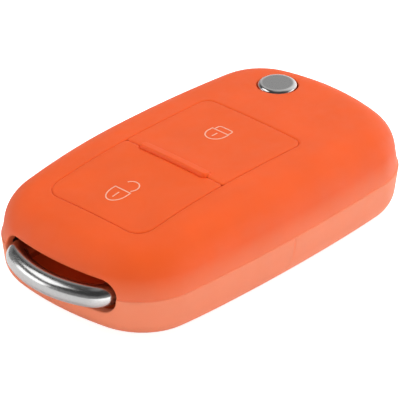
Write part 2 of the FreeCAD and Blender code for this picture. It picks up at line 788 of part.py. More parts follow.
arm_chamber = box("arm_chamber", "blade_shoulder - head_gap", "pivot_x + head_back + head_gap",
                  "pivot_y - head_gap", "cover_width / 2 + overrun", "chamber_level", "chamber_top")
PIVOT = ("pivot_x", "pivot_y")
swing_chamber = cylinder("swing_chamber", *PIVOT, "swing_radius", "chamber_level", "chamber_top")
bind(swing_chamber, "Angle", "swing_start - swing_end")
swing_chamber.Placement.Rotation = Rotation(Vector(0, 0, 1), number("swing_end"))
open_end = box("open_end", "pivot_x", "cover_length / 2 + overrun", "pivot_y - swing_reach - head_gap",
               "pivot_y", "chamber_level", "chamber_top")
flange_space = cylinder("flange_space", *PIVOT, "button_flange_radius + head_gap", "blade_level",
                        "flange_roof")
button_bore = cylinder("button_bore", *PIVOT, "button_radius + button_gap", "blade_level",
                       "cover_height + overrun")
pin_seat = cylinder("pin_seat", *PIVOT, "pivot_radius", "pivot_foot", "blade_level")
screw_hole = cylinder("screw_hole", *PIVOT, "screw_radius + screw_fit", "-overrun", "blade_level")
head_seat = cylinder("head_seat", *PIVOT, "screw_head_radius + screw_fit", "-overrun", "screw_shoulder")
leg_bores = [lying_cylinder(f"leg_bore_{name}", "end_wall - overrun", f"{side} * loop_half_span",
                            "loop_level", "loop_radius", "overrun + loop_seat")
             for name, side in (("left", 1), ("right", -1))]
hollow_case = cut("hollow_case", case_outer, end_notch, cavity, key_chamber, *key_windows.values(),
                  blade_groove, head_chamber, arm_chamber, swing_chamber, open_end, flange_space, button_bore,
                  pin_seat, screw_hole, head_seat, *leg_bores)
HALF_PLAN = ("-cover_length", "cover_length", "-cover_width", "cover_width")
upper_half = common("upper_half", hollow_case,
                    box("upper_space", *HALF_PLAN, "seam_height", "cover_height + overrun"))
lower_half = common("lower_half", hollow_case, box("lower_space", *HALF_PLAN, "-overrun", "seam_height"))

POST_X = {"near": "cavity_near + post_inset", "far": "cavity_far - post_inset"}
POST_Y = {"right": "cavity_right + post_inset", "left": "cavity_left - post_inset"}
board_posts = [cylinder(f"board_post_{end}_{side}", x, y, "post_radius", "cavity_floor", "board_level")
               for end, x in POST_X.items() for side, y in POST_Y.items()]
clamp_posts = [common(f"clamp_post_{end}", case_outer,
                      cylinder(f"clamp_rod_{end}", x, POST_Y["right"], "post_radius", "board_top",
                               "cover_height")) for end, x in POST_X.items()]
lower_case = fuse("lower_case", lower_half, *board_posts)
upper_case = fuse("upper_case", upper_half, *clamp_posts)

# Rubber keys, switches and their plungers


key_slab = crown_slab("key_slab", "case_inset", "key_flange_depth")
flange_slab = crown_slab("flange_slab", "key_flange_depth", "key_flange_floor")


def rubber_key(name, near, far, centre):
    """A key top in its window, the flange that holds it under the roof, and the stem to its switch."""
    top = common(f"{name}_key_top", key_plate(f"{name}_key_plan", near, far, "-key_gap"), key_slab)
    flange = common(f"{name}_key_flange", flange_slab,
                    plate(f"{name}_flange_plan", f"{near} + key_margin - key_flange",
                          f"{far} - key_margin + key_flange", "-key_half_width - key_flange",
                          "cavity_left - key_gap", ("key_corner", "key_corner"), PAD_FLOOR, PAD_ROOF))
    stem = common(f"{name}_key_stem", case_outer,
                  cylinder(f"{name}_key_rod", centre, "0", "key_stem_radius", "plunger_top", "cover_height"))
    return fuse(f"{name}_key", top, flange, stem)


def tact_switch(name, centre):
    half = "switch_width / 2"
    body = box(f"{name}_switch_body", f"{centre} - {half}", f"{centre} + {half}", f"-{half}", half,
               "board_top", "switch_top")
    bore = cylinder(f"{name}_switch_bore", centre, "0", "plunger_radius + plunger_gap",
                    "switch_top - plunger_depth - pad_travel - plunger_gap", "switch_top + overrun")
    return cut(f"{name}_switch", body, bore)


def switch_plunger(name, centre):
    return cylinder(f"{name}_plunger", centre, "0", "plunger_radius", "switch_top - plunger_depth",
                    "plunger_top")


key_pieces = []
for name, (near, far) in KEYS.items():
    centre = f"{name}_x"
    key_pieces += [rubber_key(name, near, far, centre), tact_switch(name, centre)]
    key_pieces += [switch_plunger(name, centre)]

# Circuit board with its chips, the coin cell with its contacts, and the transponder capsule

circuit_board = plate("circuit_board", "cavity_near + board_gap", "cavity_far - board_gap",
                      "cavity_right + board_gap", "cavity_left - board_gap", ("board_corner", "board_corner"),
                      "board_level", "board_thickness")


def chip(label, x, y, length, width, height):
    return box(label, f"{x} - {length} / 2", f"{x} + {length} / 2", f"{y} - {width} / 2",
               f"{y} + {width} / 2", "board_top", f"board_top + {height}")


PASSIVE_ROW = (-1, 0, 1)
board_chips = doc.addObject("Part::Compound", "board_chips")
board_chips.Links = [
    chip("controller", "cavity_middle", "chip_y", "chip_length", "chip_width", "chip_height"),
    chip("crystal", "cavity_middle - (chip_length + crystal_length) / 2 - crystal_gap", "chip_y",
         "crystal_length", "crystal_width", "crystal_height"),
] + [chip(f"passive_{place + 2}", "cavity_middle + (chip_length + passive_length) / 2 + crystal_gap",
          f"chip_y + {place} * passive_pitch", "passive_length", "passive_width", "passive_height")
     for place in PASSIVE_ROW]

battery = revolved("battery", [
    ("0", "cell_level"), ("battery_radius - battery_edge", "cell_level"),
    ("battery_radius - battery_edge", "cell_level + battery_edge"),
    ("battery_radius", "cell_level + battery_edge"), ("battery_radius", "cell_top"), ("0", "cell_top"),
], "battery_x", "battery_y")


def contact_strip(label, level, y):
    """A strip of sheet along the cell, turned up at its end to the board."""
    body = new_body(label)
    sketch = new_sketch(body, f"{label}_side", "XZ_Plane", f"-({y} + contact_width / 2)")
    top = f"{level} + contact_sheet"
    polygon(sketch, [("battery_x - battery_radius / 2", level), ("contact_end", level),
                     ("contact_end", "board_level"), ("contact_end - contact_sheet", "board_level"),
                     ("contact_end - contact_sheet", top), ("battery_x - battery_radius / 2", top)])
    pad(body, sketch, "contact_width")
    return body


negative_contact = contact_strip("negative_contact", "cavity_floor", "battery_y + contact_offset")
positive_contact = contact_strip("positive_contact", "cell_top", "battery_y - contact_offset")
transponder = lying_cylinder("transponder", "capsule_x - capsule_length / 2", "capsule_y",
                             "board_top + capsule_radius", "capsule_radius", "capsule_length")

# Blade, turning head and roll pin, folded along the blade side

key_blade = new_body("key_blade")
blade_plan = new_sketch(key_blade, "blade_plan", "XY_Plane", "blade_level - blade_thickness / 2")
BLADE_Y = "pivot_y + blade_offset"
polygon(blade_plan, [
    ("blade_tip", f"{BLADE_Y} - blade_tip_width / 2"),
    ("blade_tip + blade_tip_length", "blade_inner"),
    ("blade_shoulder", "blade_inner"),
    ("blade_shoulder", f"{BLADE_Y} - tang_width / 2"),
    ("pivot_x + tang_reach", f"{BLADE_Y} - tang_width / 2"),
    ("pivot_x + tang_reach", f"{BLADE_Y} + tang_width / 2"),
    ("blade_shoulder", f"{BLADE_Y} + tang_width / 2"),
    ("blade_shoulder", "blade_outer"),
    ("blade_tip + blade_tip_length", "blade_outer"),
    ("blade_tip", f"{BLADE_Y} + blade_tip_width / 2"),
])
pad(key_blade, blade_plan, "blade_thickness")
for face, level, reverse in (("upper", "blade_level + blade_thickness / 2", False),
                             ("lower", "blade_level - blade_thickness / 2", True)):
    track = new_sketch(key_blade, f"{face}_track", "XY_Plane", level)
    rounded_rectangle(track, "blade_tip - overrun", "blade_shoulder - track_margin",
                      f"{BLADE_Y} - track_width / 2", f"{BLADE_Y} + track_width / 2",
                      *["track_width / 2 * round_end_share"] * 2)
    pocket(key_blade, track, "track_depth", reverse)
pin_hole = new_sketch(key_blade, "pin_hole", "XY_Plane", "blade_level")
circle(pin_hole, "pivot_x - roll_pin_setback", BLADE_Y, "roll_pin_radius + pin_fit")
pocket(key_blade, pin_hole, "head_height", both_ways=True)

blade_hub = new_body("blade_hub")
hub_disc = new_sketch(blade_hub, "hub_disc", "XY_Plane", "head_level")
circle(hub_disc, "pivot_x", "pivot_y", "head_radius")
pad(blade_hub, hub_disc, "head_height")
hub_arm = new_sketch(blade_hub, "hub_arm", "XY_Plane", "head_level")
polygon(hub_arm, [("blade_shoulder", "pivot_y"), ("pivot_x + head_back", "pivot_y"),
                  ("pivot_x + head_back", "blade_outer"), ("blade_shoulder", "blade_outer")])
pad(blade_hub, hub_arm, "head_height")
fillet(blade_hub, upright_edges(blade_hub.Shape, lambda place: place.y > number("blade_outer - pin_fit")
                                and place.x > number("pivot_x")), "head_outer_corner")
hub_recess = new_sketch(blade_hub, "hub_recess", "XY_Plane", "head_top")
circle(hub_recess, "pivot_x", "pivot_y", "head_recess_radius")
pocket(blade_hub, hub_recess, "head_height - head_floor")
hub_bore = new_sketch(blade_hub, "hub_bore", "XY_Plane", "blade_level")
circle(hub_bore, "pivot_x", "pivot_y", "pivot_radius + pivot_fit")
pocket(blade_hub, hub_bore, "2 * head_height", both_ways=True)
hub_slot = new_sketch(blade_hub, "hub_slot", "XY_Plane", "blade_level")
polygon(hub_slot, [("blade_shoulder - overrun", f"{BLADE_Y} - tang_width / 2"),
                   ("pivot_x + tang_reach", f"{BLADE_Y} - tang_width / 2"),
                   ("pivot_x + tang_reach", f"{BLADE_Y} + tang_width / 2"),
                   ("blade_shoulder - overrun", f"{BLADE_Y} + tang_width / 2")])
pocket(blade_hub, hub_slot, "blade_thickness", both_ways=True)
hub_pin_hole = new_sketch(blade_hub, "hub_pin_hole", "XY_Plane", "blade_level")
circle(hub_pin_hole, "pivot_x - roll_pin_setback", BLADE_Y, "roll_pin_radius + pin_fit")
pocket(blade_hub, hub_pin_hole, "2 * head_height", both_ways=True)
roll_pin = cylinder("roll_pin", "pivot_x - roll_pin_setback", BLADE_Y, "roll_pin_radius", "head_level",
                    "head_top")

# Pivot pin, its screw, the release button and the spring between them

pivot_pin = revolved("pivot_pin", [
    ("screw_radius", "pivot_foot"), ("pivot_radius", "pivot_foot"), ("pivot_radius", "collar_level"),
    ("collar_radius", "collar_level"), ("collar_radius", "collar_top"), ("pivot_boss_radius", "collar_top"),
    ("pivot_boss_radius", "boss_top"), ("stem_radius + stem_fit", "boss_top"),
    ("stem_radius + stem_fit", "stem_level - button_travel - stem_overlap / 2"),
    ("screw_radius", "stem_level - button_travel - stem_overlap / 2"),
], *PIVOT)
pivot_screw = revolved("pivot_screw", [
    ("0", "screw_level"), ("screw_head_radius", "screw_level"), ("screw_head_radius", "screw_shoulder"),
    ("screw_radius", "screw_shoulder"), ("screw_radius", "screw_shoulder + screw_reach"),
    ("0", "screw_shoulder + screw_reach"),
], *PIVOT)
release_button = revolved("release_button", [
    ("0", "stem_level"), ("stem_radius", "stem_level"), ("stem_radius", "flange_level"),
    ("button_flange_radius", "flange_level"), ("button_flange_radius", "flange_top"),
    ("button_radius", "flange_top"), ("button_radius", "button_top"), ("0", "button_top"),
], *PIVOT)
button_rim = number("button_top - button_edge / 2")
fillet(release_button, edge_names(release_button.Shape, lambda edge: edge.BoundBox.ZMin > button_rim),
       "button_edge")


def helix_point(radius, pitch, low, turn):
    angle = 2 * math.pi * turn
    return Vector(radius * math.cos(angle), radius * math.sin(angle), low + pitch * turn)


def helix_tangent(radius, pitch, turn):
    angle = 2 * math.pi * turn
    run = 2 * math.pi * radius
    return Vector(-run * math.sin(angle), run * math.cos(angle), pitch).normalize()


def arc_from(start, tangent, end, reach):
    """An arc that leaves its start along the tangent; reach is the length of both end tangents."""
    knee = start + tangent * reach
    middle = (start + end) * (1 / 2)
    depth = knee.sub(middle)
    half_turn = math.asin(depth.Length / reach)
    radius = reach / math.tan(half_turn)
    return Part.Arc(start, knee - depth.normalize() * (radius / math.cos(half_turn) - radius), end).toShape()


def quarter_turn(radius, pitch, low, turn):
    """Two tangent arcs that follow a quarter turn of a coil."""
    starts = [helix_point(radius, pitch, low, place) for place in (turn, turn + 1 / 4)]
    tangents = [helix_tangent(radius, pitch, place) for place in (turn, turn + 1 / 4)]
    chord = starts[1] - starts[0]
    lean = chord.dot(tangents[0] + tangents[1])
    spread = 2 * (1 - tangents[0].dot(tangents[1]))
    reach = (math.sqrt(lean ** 2 + spread * chord.dot(chord)) - lean) / spread
    meeting = (starts[0] + starts[1] + (tangents[0] - tangents[1]) * reach) * (1 / 2)
    last = arc_from(starts[1], tangents[1] * -1, meeting, reach)
    return [arc_from(starts[0], tangents[0], meeting, reach), last]


def coil_spring(label):
    radius, wire = number("spring_radius"), number("spring_wire")
    turns = round(number("spring_turns"))
    low = number("collar_top + spring_gap + spring_wire / 2")
    pitch = (number("flange_level - spring_gap - spring_wire / 2") - low) / turns
    arcs = [arc for quarter in range(4 * turns) for arc in quarter_turn(radius, pitch, low, quarter / 4)]
    path = Part.Wire(arcs)
    section = Part.Wire(Part.makeCircle(wire / 2, helix_point(radius, pitch, low, 0),
                                        helix_tangent(radius, pitch, 0)))
    spring = doc.addObject("Part::Feature", label)
    spring.Shape = path.makePipeShell([section], True, False)
    spring.Placement.Base = Vector(number("pivot_x"), number("pivot_y"), 0)
    print(f"{label}: gap between turns {pitch - wire:.2f} mm, path {path.Length:.1f} mm")
    return spring


flip_spring = coil_spring("flip_spring")

# Key-ring bar

key_loop = new_body("key_loop")
loop_path = new_sketch(key_loop, "loop_path", "XY_Plane", "loop_level")
bow_r, bend_r = number("loop_bow_radius"), number("loop_bend_radius")
bow = Vector(number("loop_nose + loop_bow_radius"), 0, 0)
bend_y = number("loop_half_span - loop_bend_radius")
bend = Vector(bow.x - math.sqrt((bow_r - bend_r) ** 2 - bend_y ** 2), bend_y, 0)
bend_turn = direction(bow, bend)
leg_end, half_span = number("loop_leg_end"), number("loop_half_span")
left_leg = add_line(loop_path, Vector(leg_end, half_span, 0), Vector(bend.x, half_span, 0))
left_bend = add_arc(loop_path, bend, bend_r, math.pi / 2, bend_turn)
bow_arc = add_arc(loop_path, bow, bow_r, bend_turn, 2 * math.pi - bend_turn)
right_bend = add_arc(loop_path, Vector(bend.x, -bend_y, 0), bend_r, 2 * math.pi - bend_turn, 3 * math.pi / 2)
right_leg = add_line(loop_path, Vector(bend.x, -half_span, 0), Vector(leg_end, -half_span, 0))
loop_chain = [left_leg, left_bend, bow_arc, right_bend, right_leg]
for item, following in zip(loop_chain, loop_chain[1:]):
    loop_path.addConstraint(Sketcher.Constraint("Tangent", item, 2, following, 1))
for arc in (left_bend, right_bend):
    fix(loop_path, "Radius", arc, to="loop_bend_radius")
fix(loop_path, "Radius", bow_arc, to="loop_bow_radius")
place_point(loop_path, bow_arc, 3, "loop_nose + loop_bow_radius", "0")
place_point(loop_path, left_leg, 1, "loop_leg_end", "loop_half_span")
place_point(loop_path, right_leg, 2, "loop_leg_end", "-loop_half_span")
for leg in (left_leg, right_leg):
    loop_path.addConstraint(Sketcher.Constraint("Horizontal", leg))
loop_section = new_sketch(key_loop, "loop_section", "YZ_Plane", "loop_leg_end")
circle(loop_section, "loop_half_span", "loop_level", "loop_radius")
loop_pipe = key_loop.newObject("PartDesign::AdditivePipe", "loop_pipe")
loop_pipe.Profile = loop_section
loop_pipe.Spine = loop_path

# Check every piece, then write it to its own file

NODES = [
    cover_shell, lock_pad, unlock_pad, upper_case, lower_case, *key_pieces, circuit_board, board_chips,
    battery, positive_contact, negative_contact, transponder, key_blade, blade_hub, roll_pin, pivot_pin,
    pivot_screw, flip_spring, release_button, key_loop,
]

doc.recompute()
for piece in doc.Objects:
    if "Invalid" in piece.State or "Error" in piece.State:
        raise RuntimeError(f"{piece.Label} is in state {piece.State}")
for node in NODES:
    if node.Shape.isNull() or not node.Shape.isValid() or not node.Shape.Solids:
        raise RuntimeError(f"{node.Label} has no sound solid")
os.makedirs("parts", exist_ok=True)
for node in NODES:
    node.Shape.exportStep(f"parts/{node.Label}.step")
    solids = len(node.Shape.Solids)
    print(f"{node.Label}: {solids} solid{'s' if solids > 1 else ''}, {node.Shape.Volume:.1f} mm3")
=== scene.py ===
"""Key fob cover on a folding car key: the soft silicone skin, finishes, lights and camera."""
import math

import bmesh
import bpy
from mathutils import Matrix, Vector
from mathutils.bvhtree import BVHTree


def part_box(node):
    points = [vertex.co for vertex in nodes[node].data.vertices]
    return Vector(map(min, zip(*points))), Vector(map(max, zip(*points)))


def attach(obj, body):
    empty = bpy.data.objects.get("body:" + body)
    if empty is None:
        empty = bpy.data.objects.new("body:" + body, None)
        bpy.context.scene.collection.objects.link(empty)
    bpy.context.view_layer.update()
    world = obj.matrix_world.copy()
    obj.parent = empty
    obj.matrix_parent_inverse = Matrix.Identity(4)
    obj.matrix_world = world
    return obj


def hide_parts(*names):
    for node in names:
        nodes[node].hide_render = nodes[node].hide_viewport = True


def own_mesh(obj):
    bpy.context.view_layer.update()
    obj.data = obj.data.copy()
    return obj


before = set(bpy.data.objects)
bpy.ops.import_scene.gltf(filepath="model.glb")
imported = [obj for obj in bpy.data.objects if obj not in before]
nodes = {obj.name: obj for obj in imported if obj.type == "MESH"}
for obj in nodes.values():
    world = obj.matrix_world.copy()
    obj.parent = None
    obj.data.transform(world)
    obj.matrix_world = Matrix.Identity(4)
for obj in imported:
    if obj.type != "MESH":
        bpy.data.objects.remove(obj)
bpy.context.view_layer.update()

MM = 0.001
scene = bpy.context.scene

# Sizes of the cover, in mm
HALF_LENGTH, HALF_WIDTH, TOP = 35.0, 20.05, 17.65  # before its openings are cut
SEAM = 8.0  # height of the line round the sides
SEAM_STEP = 0.2  # the lower band stands this far proud
NEAR_END, FAR_END, SIDE = 50.4, 41.9, 343.0  # radii of the outline at the seam
NEAR_CORNER, FAR_CORNER = 12.0, 11.7
UPPER_DRAFT, UPPER_RIM = math.radians(8), 6.0
LOWER_DRAFT, LOWER_RIM = math.radians(7), 4.0
CROWN_JOIN, CROWN_NEAR, CROWN_FAR, CROWN_CROSS = -3.5, 148.0, 567.0, 234.0
BACK_FLAT, BACK_NEAR, BACK_FAR = 15.0, 230.0, 392.0
WALL = 1.4  # thickness of the silicone
LEDGE, LEDGE_DEPTH = 2.0, 1.0  # under the pads: its width, and its depth below the top
BAND_EDGE = 0.3  # the lower band starts to round this far under the seam
SEAM_PROFILE = (  # inward and up from the seam, from the band to the wall
    (0.012, -0.12), (0.03, -0.05), (0.07, -0.012), (0.13, 0.0),
    (0.185, 0.0), (0.205, 0.02), (0.212, 0.08), (0.225, 0.18))

# The short moulded line on the right side, below the seam
SIDE_MARK, MARK_REACH = 0.7, 1.6  # its place along x, and how far the mesh is fine
MARK_TOP, MARK_FOOT = SEAM - 0.1, 2.2
MARK_BEND_START, MARK_BEND = 5.2, 3.2
MARK_DEPTH, MARK_WIDTH = 0.2, 0.22

# The openings
button_low, button_high = (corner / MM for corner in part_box("release_button"))
BUTTON = Vector(((button_low.x + button_high.x) / 2, (button_low.y + button_high.y) / 2))
BUTTON_HOLE, BUTTON_LIP = 3.5, 0.25
BUTTON_REACH = (5.0, 5.0)  # how far the cutter goes out of the skin and into it
WINDOW_HALF, WINDOW_LOW, WINDOW_HIGH, WINDOW_LIP = 12.3, 4.95, 10.75, 0.3
WINDOW_REACH = (12.0, 5.5)
SLOT_LOW, SLOT_HIGH, SLOT_START, SLOT_END, SLOT_LIP = 4.5, 11.5, -21.2, -7.3, 0.4
SLOT_REACH = (4.0, 2.6)
FLARE_START, FLARE_OVER = math.radians(14), 0.3  # slope of a cutter at the skin, and how far it goes on

# The pocket behind the key-ring bar, and the bar's legs
POCKET_BACK, POCKET_FLOOR = -25.65, 0.15  # its closed end, on the case
POCKET_INSET, POCKET_WALL, POCKET_MOUTH = 0.4, 0.4, 0.75
LEG, LEG_LEVEL, LEG_RADIUS, LEG_PLAY = 9.7, 7.7, 1.9, 0.12
DRILL_REACH = 1.0

# The pads, in the panel on the top
PANEL_NEAR, PANEL_FAR, PANEL_HALF = -25.7, 12.5, 10.77
PANEL_NEAR_CORNER, PANEL_FAR_CORNER = 3.0, 1.8
PANEL_CENTRE = (PANEL_NEAR + PANEL_FAR) / 2
DIVIDER = -6.75  # the line between the two pads
PAD_GAP = 0.03  # gap at the foot of the groove round a pad
PAD_DEPTH = 0.56  # leaves the pads room to be pressed
LIP, LIP_DROP, LIP_TURN = 0.46, 0.19, math.radians(62)  # width, depth and last slope of the groove's edges
LIP_MARGIN = 0.05
PAD_HALF = PANEL_HALF - LIP
SPLIT = PAD_GAP / 2 + LIP
LOCK_DISH, UNLOCK_DISH = 0.16, 0.24
DISH_MARGIN, DISH_RUN = 1.0, 4.6
BAR_NEAR, BAR_FAR, BAR_RIGHT, BAR_LEFT = -7.43, -5.48, -7.45, 7.7  # the raised bar of the lock pad
BAR_RISE, BAR_RISE_FAR, BAR_EDGE = 0.6, 0.26, 0.42  # its height on either side, and its rounding
BAR_BEND, BAR_MIDDLE = (BAR_FAR - BAR_NEAR) / 2, (BAR_FAR + BAR_NEAR) / 2

# The padlock signs
SIGN_WIDTH, SIGN_LIFT, SIGN_SUNK = 0.2, 0.025, 0.12
LOCK_SHOULDER, LOCK_FOOT, LOCK_LEFT, LOCK_RIGHT = 5.6, 2.65, 3.05, -0.55
UNLOCK_SHOULDER, UNLOCK_FOOT, UNLOCK_LEFT, UNLOCK_RIGHT = -18.05, -21.45, 2.25, -1.15
SHACKLE_TOP, SHACKLE_LEFT, SHACKLE_RIGHT, SHACKLE_BEND = 6.95, 2.6, -0.4, 0.6
OPEN_SHACKLE, OPEN_RADIUS, OPEN_FIRST, OPEN_LAST = Vector((-16.6, 0.2)), 1.42, 222, 424
BOWL_DROP, BROW = 0.9, 0.1  # shoulder to bowl, and how far the top line stands out
HOLE_LOW, HOLE_HIGH = 0.3, 0.74  # the keyhole, as shares of the body's depth

# The coil spring
COIL_TURNS, WIRE = 3, 0.3

# Steps of the meshes
COLUMN_STEP, MARK_STEP, PAD_STEP, BAR_STEP, LINE_GAP = 0.42, 0.08, 0.55, 0.1, 0.05  # in mm
BAR_END_OUT, BAR_END_IN = 0.9, 1.2  # the fine stretch about each end of the raised bar
UNDER_SHARES, UNDER_SQUEEZE = (0.94, 0.75, 0.5, 0.25, 0.08), 0.55
UNDER_INNER_SHARES = (0.25, 0.6, 0.94)
BAND_SHARES, WALL_SHARES, LEDGE_SHARES = (0.25, 0.5, 0.75), (0.3, 0.6), (0.25, 0.5, 0.75)
TOP_SHARES = (0.07, 0.16, 0.27, 0.4, 0.54, 0.68, 0.8, 0.89, 0.95, 0.985)
LOCK_STRETCHES = ((0, 0.14, 0.0055), (0.14, 0.92, 0.03), (0.92, 1, 0.016))  # finest beside the raised bar
UNLOCK_STRETCHES = ((0, 0.1, 0.016), (0.1, 0.93, 0.03), (0.93, 1, 0.0045))
RIM_STEPS, RIM_ROUNDS, SLOPE_STEP = 12, 6, 0.1
LIP_STEPS, FLARE_STEPS, SLOT_STEPS = 6, 6, 5
BUTTON_STEPS, WINDOW_FLAT_STEPS, WINDOW_BEND_STEPS, DRILL_SIDES = 72, 40, 20, 24
CORNER_STEPS, ARC_STEPS, BEND_STEPS = 10, 24, 6
SIGN_STEP, SIGN_SIDES = 0.12, 4  # mm along a sign's line, and corners of its section
COIL_STEPS, WIRE_SIDES = 40, 12
HALVINGS, SEARCH = 40, 40.0  # of a search, and how far it reaches in mm
RAY_START = 60.0  # mm from which a ray is cast at the skin
EDGE_ANGLE, CUT_EDGE_ANGLE = 40, 35  # degrees, past which an edge stays sharp


# Helpers for curves
def even(first, last, steps):
    """Values from first to last in equal steps, with both ends."""
    return [first + (last - first) * step / steps for step in range(steps + 1)]


def blend(start, end, share):
    return start * (1 - share) + end * share


def ease(share):
    """A soft step from nought to one."""
    share = min(1.0, max(0.0, share))
    return share * share * (3 - 2 * share)


def last_inside(high, inside):
    """The largest value from nought to high that is still inside, by halving."""
    low = 0.0
    for _ in range(HALVINGS):
        half = (low + high) / 2
        low, high = (half, high) if inside(half) else (low, half)
    return low


# Helpers for meshes
def stitch(first, second):
    """Quads between two closed loops of vertex numbers."""
    count = len(first)
    return [(first[here], first[(here + 1) % count], second[(here + 1) % count], second[here])
            for here in range(count)]


def ring_faces(rings, sides, start=0):
    """Quads between neighbouring rings that have this many points each."""
    loops = [range(start + ring * sides, start + (ring + 1) * sides) for ring in range(rings)]
    return [face for low, high in zip(loops, loops[1:]) for face in stitch(low, high)]


def tube_faces(rings, sides, start=0):
    """The quads of a tube, and a cap at either end."""
    last = start + (rings - 1) * sides
    caps = [tuple(range(first, first + sides)) for first in (start, last)]
    return ring_faces(rings, sides, start) + caps


def grid_faces(rows, cols, start=0):
    """Quads of a grid of points."""
    corners = [start + row * cols + col for row in range(rows - 1) for col in range(cols - 1)]
    return [(corner, corner + 1, corner + cols + 1, corner + cols) for corner in corners]


def shade(piece, angle):
    """Smooth shading that keeps edges sharper than the angle."""
    piece.data.shade_smooth()
    bpy.context.view_layer.objects.active = piece
    for other in bpy.context.selected_objects:
        other.select_set(False)
    piece.select_set(True)
    bpy.ops.object.shade_smooth_by_angle(angle=math.radians(angle))
    piece.select_set(False)


def make_object(name, vertices, faces):
    """A piece from points in mm."""
    mesh = bpy.data.meshes.new(name)
    mesh.from_pydata([Vector(vertex) * MM for vertex in vertices], [], faces)
    sheet = bmesh.new()
    sheet.from_mesh(mesh)
    bmesh.ops.recalc_face_normals(sheet, faces=sheet.faces)
    sheet.to_mesh(mesh)
    sheet.free()
    piece = bpy.data.objects.new(name, mesh)
    scene.collection.objects.link(piece)
    shade(piece, EDGE_ANGLE)
    return piece


def make_tube(name, loops):
    vertices = [vertex for loop in loops for vertex in loop]
    return make_object(name, vertices, tube_faces(len(loops), len(loops[0])))


def cut(piece, cutters):
    """Takes the cutters out of a piece, one by one."""
    for cutter in cutters:
        step = piece.modifiers.new("opening", "BOOLEAN")
        step.operation, step.solver, step.object = "DIFFERENCE", "EXACT", cutter
        bpy.context.view_layer.update()
        solid = bpy.data.meshes.new_from_object(piece.evaluated_get(bpy.context.evaluated_depsgraph_get()))
        piece.modifiers.clear()
        old = piece.data
        piece.data = solid
        bpy.data.meshes.remove(old)
        bpy.data.objects.remove(cutter)
    shade(piece, CUT_EDGE_ANGLE)


# The cover's surfaces
def crown(x, y):
    """Height of the top."""
    run = CROWN_NEAR if x < CROWN_JOIN else CROWN_FAR
    along = run - math.sqrt(run ** 2 - (x - CROWN_JOIN) ** 2)
    return TOP - along - (CROWN_CROSS - math.sqrt(CROWN_CROSS ** 2 - y * y))


def back(x, y):
    """Height of the underside, which is the same at every y."""
    past = max(0.0, abs(x) - BACK_FLAT)
    run = BACK_FAR if x > 0 else BACK_NEAR
    return run - math.sqrt(run ** 2 - past ** 2)


UPPER = (UPPER_DRAFT, UPPER_RIM, SEAM_STEP, crown, 1)
LOWER = (LOWER_DRAFT, LOWER_RIM, 0.0, back, -1)


def outline_arcs():
    """Centre, radius, first and last angle of each arc of the seam, anticlockwise from the far end."""
    near = Vector((-HALF_LENGTH + NEAR_END, 0))
    far = Vector((HALF_LENGTH - FAR_END, 0))
    side = Vector((0, HALF_WIDTH - SIDE))  # centre of the left side's arc

    def corner(end, end_radius, radius, sign):
        """Centre of the arc between an end and the left side."""
        reach, rise = end_radius - radius, SIDE - radius

        def spot(angle):
            return Vector((end.x + sign * reach * math.cos(angle), reach * math.sin(angle)))

        return spot(last_inside(math.pi / 2, lambda angle: (spot(angle) - side).length < rise))

    def angle_of(start, end):
        return math.atan2(end.y - start.y, end.x - start.x)

    far_spot = corner(far, FAR_END, FAR_CORNER, 1)
    near_spot = corner(near, NEAR_END, NEAR_CORNER, -1)
    end_far, end_near = angle_of(far, far_spot), angle_of(near, near_spot)
    side_far, side_near = angle_of(side, far_spot), angle_of(side, near_spot)
    left = [
        (far_spot, FAR_CORNER, end_far, side_far),
        (side, SIDE, side_far, side_near),
        (near_spot, NEAR_CORNER, side_near, end_near),
    ]
    right = [(Vector((centre.x, -centre.y)), radius, math.tau - last, math.tau - first)
             for centre, radius, first, last in reversed(left)]
    far_arc = (far, FAR_END, -end_far, end_far)
    near_arc = (near, NEAR_END, end_near, math.tau - end_near)
    return [far_arc] + left + [near_arc] + right


def outline_columns(mark_step):
    """Points and outward normals round the seam, with a step of their own by the moulded line."""
    columns = []
    for centre, radius, first, last in outline_arcs():
        angles = even(first, last, round(radius * (last - first) / COLUMN_STEP))[:-1]
        if radius == SIDE and centre.y > 0:  # the right side, whose centre lies on the left
            start, end = (math.tau - math.acos((SIDE_MARK + reach) / SIDE)
                          for reach in (-MARK_REACH, MARK_REACH))
            angles = [angle for angle in angles if not start < angle < end]
            angles = sorted(angles + even(start, end, round((end - start) * radius / mark_step)))
        for angle in angles:
            normal = Vector((math.cos(angle), math.sin(angle)))
            columns.append((centre + normal * radius, normal))
    return columns


def rim(point, normal, inset, draft, radius, step, surface, upward):
    """Inward distances and heights of the rounding from the wall to the crown or the underside."""
    radius -= inset
    lean, reach = math.tan(draft), 1 / math.cos(draft)

    def level(inward):
        spot = point - normal * inward
        return surface(spot.x, spot.y) - upward * inset

    centre = radius
    for _ in range(RIM_ROUNDS):
        slope = (level(centre + SLOPE_STEP) - level(centre - SLOPE_STEP)) / (2 * SLOPE_STEP)
        height = level(centre) - upward * radius * math.hypot(1, slope)
        centre = inset + step + abs(height - SEAM) * lean + radius * reach
    first = math.atan2(upward * math.sin(draft), -math.cos(draft)) % math.tau
    last = math.atan2(upward, -upward * slope) % math.tau
    return [(centre + radius * math.cos(turn), height + radius * math.sin(turn))
            for turn in even(first, last, RIM_STEPS)]


def mark_depth(point, height):
    """Depth of the moulded line, which curves towards the key-ring end at its foot."""
    if point.y > 0 or not MARK_FOOT <= height <= MARK_TOP:
        return 0.0
    foot = max(0.0, MARK_BEND_START - height)
    line = SIDE_MARK - (MARK_BEND - math.sqrt(max(0.0, MARK_BEND ** 2 - foot ** 2)))
    return MARK_DEPTH * math.exp(-((point.x - line) / MARK_WIDTH) ** 2)


